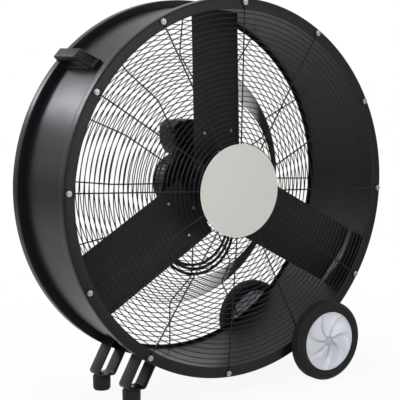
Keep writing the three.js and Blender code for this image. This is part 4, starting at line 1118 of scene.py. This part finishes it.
# ---- studio -------------------------------------------------------------
# Where the camera stood and the way it looked, solved from the guard screws,
# the drum's outline and the floor line through the wheel and the foot.
CAMERA_PLACE = (-1.995, -3.034, 1.0475)
CAMERA_WAY = (0.5667, 0.8147, -0.1233)
WHITE, COOL_WHITE = (1, 1, 1), (0.93, 0.91, 1)
# Each lamp's place, the point it faces, its size and its tint. The first word
# of its name is its strength in the panel.
LAMPS = {
    "key_left": ((-3.2, -2.0, 2.4), (0, 0, 0.6), 1.6, WHITE),
    "fill_front": ((1.6, -4.0, 0.8), (0.2, 0, 0.4), 1.8, WHITE),
    "top_soft": ((0.3, 0.2, 3.4), (0, 0, 0.5), 2.6, WHITE),
    "rim_behind": ((-1.65, 2.6, 2.3), (-0.45, 0, 0.95), 0.9, COOL_WHITE),
}


def calculate(tree, operation, first, second):
    """The result of a maths node."""
    return add_node(tree, "ShaderNodeMath", {0: first, 1: second}, operation=operation).outputs[0]


def fade(tree, distance, stop, near, far):
    """Runs smoothly from near to far as a distance goes from 0.5 m to stop."""
    node = add_node(tree, "ShaderNodeMapRange",
                    {"Value": distance, "From Min": 0.5, "From Max": stop, "To Min": near, "To Max": far},
                    interpolation_type="SMOOTHSTEP")
    return node.outputs["Result"]


def mix_shaders(tree, share, first, second, output):
    """Mixes two shaders into the surface of an output node."""
    mix = add_node(tree, "ShaderNodeMixShader", {0: share, 1: first.outputs[0], 2: second.outputs[0]})
    tree.links.new(mix.outputs[0], tree.nodes[output].inputs["Surface"])


def studio_floor():
    """A wide pale floor. The camera and reflections see it mostly as plain
    white, so it meets the white background but keeps a faint shadow."""
    bm = bmesh.new()
    bmesh.ops.create_grid(bm, x_segments=1, y_segments=1, size=40)
    mesh = bpy.data.meshes.new("studio_floor")
    bm.to_mesh(mesh)
    bm.free()
    paint = bpy.context.scene.drum_fan_colours.floor
    material, tree, shader, place = start_material("pale_studio_floor", paint, 0.9)
    shader.inputs["Specular IOR Level"].default_value = 0.1
    glow = add_node(tree, "ShaderNodeEmission", {"Color": (1, 1, 1, 1), "Strength": 1.0})
    ray = add_node(tree, "ShaderNodeLightPath")
    away = add_node(tree, "ShaderNodeVectorMath", {0: place}, operation="LENGTH").outputs["Value"]
    # Plain white from 1.6 m out, so no horizon shows against the surround.
    seen = calculate(tree, "MULTIPLY", ray.outputs["Is Camera Ray"], fade(tree, away, 1.6, 0.92, 1.0))
    # Reflections see it white close by only, like a bounce card under the drum.
    bounce = calculate(tree, "MULTIPLY", ray.outputs["Is Glossy Ray"], fade(tree, away, 1.2, 1.0, 0.15))
    share = calculate(tree, "ADD", seen, bounce)
    mix_shaders(tree, share, shader, glow, "Material Output")
    mesh.materials.append(material)
    floor = bpy.data.objects.new("studio_floor", mesh)
    bpy.context.scene.collection.objects.link(floor)


def studio_world():
    """A white surround: full strength where the camera or a reflection sees
    it, softer as light."""
    world = bpy.data.worlds.new("white_studio")
    world.use_nodes = True
    bpy.context.scene.world = world
    tree = world.node_tree
    soft = tree.nodes["Background"]
    soft.inputs["Color"].default_value = (1, 1, 1, 1)
    soft.inputs["Strength"].default_value = 0.2
    seen = add_node(tree, "ShaderNodeBackground", {"Color": (1, 1, 1, 1), "Strength": 1.0})
    ray = add_node(tree, "ShaderNodeLightPath")
    looked_at = calculate(tree, "MAXIMUM", ray.outputs["Is Camera Ray"], ray.outputs["Is Glossy Ray"])
    mix_shaders(tree, looked_at, soft, seen, "World Output")


def soft_light(name, place, target, size, power, tint):
    """A square area light that faces a point."""
    light = bpy.data.lights.new(name, "AREA")
    light.size = size
    light.color = tint
    light.energy = power
    lamp = bpy.data.objects.new(name, light)
    lamp.location = place
    lamp.rotation_euler = (Vector(target) - Vector(place)).to_track_quat("-Z", "Y").to_euler()
    bpy.context.scene.collection.objects.link(lamp)


def photograph_camera(stage):
    """The camera that the photograph was taken from."""
    camera = bpy.data.cameras.new("photograph")
    camera.lens = stage.lens
    camera.shift_x, camera.shift_y = stage.shift_x, stage.shift_y
    eye = bpy.data.objects.new("photograph", camera)
    eye.location = CAMERA_PLACE
    eye.rotation_euler = Vector(CAMERA_WAY).to_track_quat("-Z", "Y").to_euler()
    bpy.context.scene.collection.objects.link(eye)
    bpy.context.scene.camera = eye


# ---- what a user may change ---------------------------------------------
def length(name, description, millimetres):
    """A size in the panel."""
    return FloatProperty(name=name, description=description, default=millimetres * MM, min=0.0,
                         unit="LENGTH", precision=4)


def colour(name, description, hex_colour):
    """A colour in the panel."""
    return FloatVectorProperty(name=name, description=description, default=linear(hex_colour),
                               subtype="COLOR", size=3, min=0.0, max=1.0)


class DrumFanSizes(bpy.types.PropertyGroup):
    """Sizes of the finished surfaces."""
    drum_steps: IntProperty(name="Drum steps", description="Steps round the drum and its rims",
                            default=192, min=48, max=256)
    drum_sheet: length("Drum sheet", "Thickness of the rolled sheet", 1.6)
    rim_bend: length("Rim bend", "Reach of the rims' rounded bends", 5)
    ring_steps: IntProperty(name="Ring steps", description="Steps round each guard ring",
                            default=144, min=48, max=192)
    guard_wire: length("Ring wire", "Radius of the guards' ring wire", 1.5)
    spoke_wire: length("Spoke wire", "Radius of the guards' spoke wire", 2.1)
    outer_ring: length("Outer ring", "Radius of each guard's outermost ring", 519)
    ring_pitch: length("Ring pitch", "Distance from ring to ring", 15.1)
    eye_radius: length("Eye", "Radius of the loop round each guard screw", 8.6)
    screw_circle: length("Screw circle", "Radius of the circle of guard screws", 550)
    screw_head: length("Screw head", "Radius of a guard screw's head", 6.2)
    disc_sheet: length("Disc sheet", "Thickness of the centre disc", 1.6)
    blade_chord: length("Blade chord", "Width of a blade along its camber", 188)
    blade_camber: length("Blade camber", "Radius of a blade's camber", 620)
    blade_sheet: length("Blade sheet", "Thickness of a blade", 2)
    blade_root: length("Blade root", "Where a blade starts from the axis", 95)
    blade_tip: length("Blade tip", "Radius that the blades reach", 528)
    hem_width: length("Blade hem", "Width of the folded hems", 13)
    rivet_radius: length("Rivet", "Radius of a blade rivet's dome", 4.5)
    fins: IntProperty(name="Motor fins", description="Fins round the motor", default=40, min=8, max=72)
    fin_height: length("Fin height", "How far the motor's fins stand out", 5)
    fin_width: length("Fin width", "Thickness of a motor fin", 3)
    box_round: length("Box rounding", "Rounding of the control box", 1.1)
    handle_round: length("Handle rounding", "Rounding of the handle's edges", 1.2)
    tyre_width: length("Tyre width", "Width of a tyre", 46)
    tyre_face: length("Tyre face", "How far out a tyre's outer side stands", 222)
    panels: IntProperty(name="Wheel panels", description="Tilted panels round a wheel hub",
                        default=7, min=3, max=12)
    panel_step: length("Panel step", "How far one panel stands over the next", 11)


class DrumFanColours(bpy.types.PropertyGroup):
    """Colours of the finishes."""
    drum_steel: colour("Drum steel", "Powder coat of the drum, rims and brackets", "18171a")
    guard_wire: colour("Guard wire", "Powder coat of the guards", "1d1c1e")
    blade_steel: colour("Blade steel", "Coat of the blades", "242123")
    disc_grey: colour("Centre disc", "Enamel of the centre disc", "dad9d3")
    motor_paint: colour("Motor paint", "Enamel of the motor", "2a2a2d")
    bright_steel: colour("Bright steel", "Zinc plate of screws, rivets and axle", "9a9b9f")
    stator_core: colour("Stator core", "Varnished stator plates", "7a4a2c")
    black_plastic: colour("Black plastic", "Box, knob, handle and plug", "141315")
    cord_pvc: colour("Cord sheath", "Sheath of the mains cord", "201f21")
    tyre_rubber: colour("Tyre rubber", "Rubber of the tyres", "1b1a1c")
    foot_rubber: colour("Foot rubber", "Rubber of the feet", "1e1d1e")
    wheel_plastic: colour("Wheel plastic", "Silver paint of the wheel hubs", "dcdfe6")
    cap_plastic: colour("Cap plastic", "Grey of the axle caps", "b9bac6")
    dial_mark: colour("Dial marks", "Ink of the dial's marks", "e4e4e2")
    floor: colour("Floor", "The studio floor", "f4f4f4")


class DrumFanStage(bpy.types.PropertyGroup):
    """The camera's lens and the strength of the lights."""
    lens: FloatProperty(name="Lens", description="Focal length in millimetres", default=107.5)
    shift_x: FloatProperty(name="Shift X", description="Sideways shift of the view", default=-0.091)
    shift_y: FloatProperty(name="Shift Y", description="Upward shift of the view", default=-0.024)
    key: FloatProperty(name="Key light", description="Power of the light at the left", default=64.0,
                       unit="POWER")
    fill: FloatProperty(name="Fill light", description="Power of the front light", default=34.0, unit="POWER")
    top: FloatProperty(name="Top light", description="Power of the overhead light", default=60.0,
                       unit="POWER")
    rim: FloatProperty(name="Rim light", description="Power of the light behind, at the left", default=44.0,
                       unit="POWER")


# ---- operators ----------------------------------------------------------
class DRUMFAN_OT_stage(bpy.types.Operator):
    """Sets up the camera, the lights, the white surround and the floor"""
    bl_idname = "drum_fan.stage"
    bl_label = "Build the stage"

    def execute(self, context):
        stage = context.scene.drum_fan_stage
        context.scene.view_settings.view_transform = "Standard"
        photograph_camera(stage)
        for name, (place, target, size, tint) in LAMPS.items():
            soft_light(name, place, target, size, getattr(stage, name.split("_")[0]), tint)
        studio_world()
        studio_floor()
        return {"FINISHED"}


class DRUMFAN_OT_mains_lead(bpy.types.Operator):
    """Lays the mains cord with its sleeve, tie and plug"""
    bl_idname = "drum_fan.mains_lead"
    bl_label = "Lay the mains lead"

    def execute(self, context):
        mains_cord()
        return {"FINISHED"}


class DRUMFAN_OT_drum(bpy.types.Operator):
    """Rolls the drum's wall and its two rims"""
    bl_idname = "drum_fan.drum"
    bl_label = "Build the drum"

    def execute(self, context):
        sizes = context.scene.drum_fan_sizes
        drum_sheet(sizes)
        rolled_rim(sizes, "front_rim", "rolled_rim_front", -1)
        rolled_rim(sizes, "rear_rim", "rolled_rim_rear", 1)
        return {"FINISHED"}


class DRUMFAN_OT_guards(bpy.types.Operator):
    """Winds both wire guards, and sets their screws and the centre disc"""
    bl_idname = "drum_fan.guards"
    bl_label = "Build the guards"

    def execute(self, context):
        sizes = context.scene.drum_fan_sizes
        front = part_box("front_rim")[0].y - sizes.spoke_wire - 0.1 * MM
        inner = front - 13 * MM
        path = [(sizes.screw_circle, front), (138 * MM, inner), (52 * MM, inner)]
        wire_guard(sizes, "wire_guard_front", "front_guard", [Vector(p) for p in path], -1)
        guard_screws(sizes, "front_guard_screws", front - sizes.spoke_wire, -1)
        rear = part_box("rear_rim")[1].y + sizes.spoke_wire + 0.1 * MM
        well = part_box("motor_plate")[0].y - CLEARANCE - sizes.spoke_wire
        path = [(sizes.screw_circle, rear), (396 * MM, rear + 11 * MM), (291 * MM, well), (52 * MM, well)]
        wire_guard(sizes, "wire_guard_rear", "rear_guard", [Vector(p) for p in path], 1)
        guard_screws(sizes, "rear_guard_screws", rear + sizes.spoke_wire, 1)
        screw_tips(sizes)
        crowned_disc(sizes)
        return {"FINISHED"}


class DRUMFAN_OT_rotor(bpy.types.Operator):
    """Shapes the three blades, their rivets and the hub"""
    bl_idname = "drum_fan.rotor"
    bl_label = "Build the rotor"

    def execute(self, context):
        sizes = context.scene.drum_fan_sizes
        for index in range(BLADES):
            blade(sizes, index)
        blade_rivets(sizes)
        rotor_spider(sizes)
        return {"FINISHED"}


class DRUMFAN_OT_motor(bpy.types.Operator):
    """Turns the motor: bells, finned shell, bolts and inner parts"""
    bl_idname = "drum_fan.motor"
    bl_label = "Build the motor"

    def execute(self, context):
        sizes = context.scene.drum_fan_sizes
        motor_bell("front", 1, ring=0.52, ease=0, step=1.5, inset=9, depth=9)
        motor_bell("rear", -1, ring=0.5, ease=2, step=REAR_BELL_STEP / MM, inset=8, depth=11)
        motor_fins(sizes)
        motor_bolts()
        motor_inside()
        return {"FINISHED"}


class DRUMFAN_OT_controls(bpy.types.Operator):
    """Builds the control box, its dial and the speed knob"""
    bl_idname = "drum_fan.controls"
    bl_label = "Build the controls"

    def execute(self, context):
        control_box(context.scene.drum_fan_sizes)
        dial_marks()
        speed_knob()
        return {"FINISHED"}


class DRUMFAN_OT_handle_and_legs(bpy.types.Operator):
    """Builds the handle, the two leg straps, the feet and their bolts"""
    bl_idname = "drum_fan.handle_and_legs"
    bl_label = "Build the handle and legs"

    def execute(self, context):
        carry_handle(context.scene.drum_fan_sizes)
        legs_and_feet()
        return {"FINISHED"}


class DRUMFAN_OT_wheels(bpy.types.Operator):
    """Builds both wheels, the axle and its brackets"""
    bl_idname = "drum_fan.wheels"
    bl_label = "Build the wheels"

    def execute(self, context):
        sizes = context.scene.drum_fan_sizes
        for end in ("front", "rear"):
            tyre(sizes, end)
            wheel_centre(sizes, end)
            wheel_fittings(sizes, end)
        axle_and_brackets()
        return {"FINISHED"}


OPERATORS = (
    DRUMFAN_OT_stage, DRUMFAN_OT_mains_lead, DRUMFAN_OT_drum, DRUMFAN_OT_guards, DRUMFAN_OT_rotor,
    DRUMFAN_OT_motor, DRUMFAN_OT_controls, DRUMFAN_OT_handle_and_legs, DRUMFAN_OT_wheels,
)


class DRUMFAN_PT_panel(bpy.types.Panel):
    """Lists the builders, sizes and colours"""
    bl_idname = "DRUMFAN_PT_panel"
    bl_label = "Drum Fan"
    bl_space_type = "VIEW_3D"
    bl_region_type = "UI"
    bl_category = "Drum Fan"

    def draw(self, context):
        scene = context.scene
        for operator in OPERATORS:
            self.layout.operator(operator.bl_idname)
        for group in (scene.drum_fan_sizes, scene.drum_fan_colours, scene.drum_fan_stage):
            box = self.layout.box()
            for name in group.__annotations__:
                box.prop(group, name)


CLASSES = (DrumFanSizes, DrumFanColours, DrumFanStage, *OPERATORS, DRUMFAN_PT_panel)


def register():
    for cls in CLASSES:
        bpy.utils.register_class(cls)
    bpy.types.Scene.drum_fan_sizes = PointerProperty(type=DrumFanSizes)
    bpy.types.Scene.drum_fan_colours = PointerProperty(type=DrumFanColours)
    bpy.types.Scene.drum_fan_stage = PointerProperty(type=DrumFanStage)


def unregister():
    del bpy.types.Scene.drum_fan_stage
    del bpy.types.Scene.drum_fan_colours
    del bpy.types.Scene.drum_fan_sizes
    for cls in reversed(CLASSES):
        bpy.utils.unregister_class(cls)


def main():
    register()
    bpy.ops.drum_fan.stage()
    bpy.ops.drum_fan.mains_lead()
    bpy.ops.drum_fan.drum()
    bpy.ops.drum_fan.guards()
    bpy.ops.drum_fan.rotor()
    bpy.ops.drum_fan.motor()
    bpy.ops.drum_fan.controls()
    bpy.ops.drum_fan.handle_and_legs()
    bpy.ops.drum_fan.wheels()


if __name__ == "__main__":
    main()
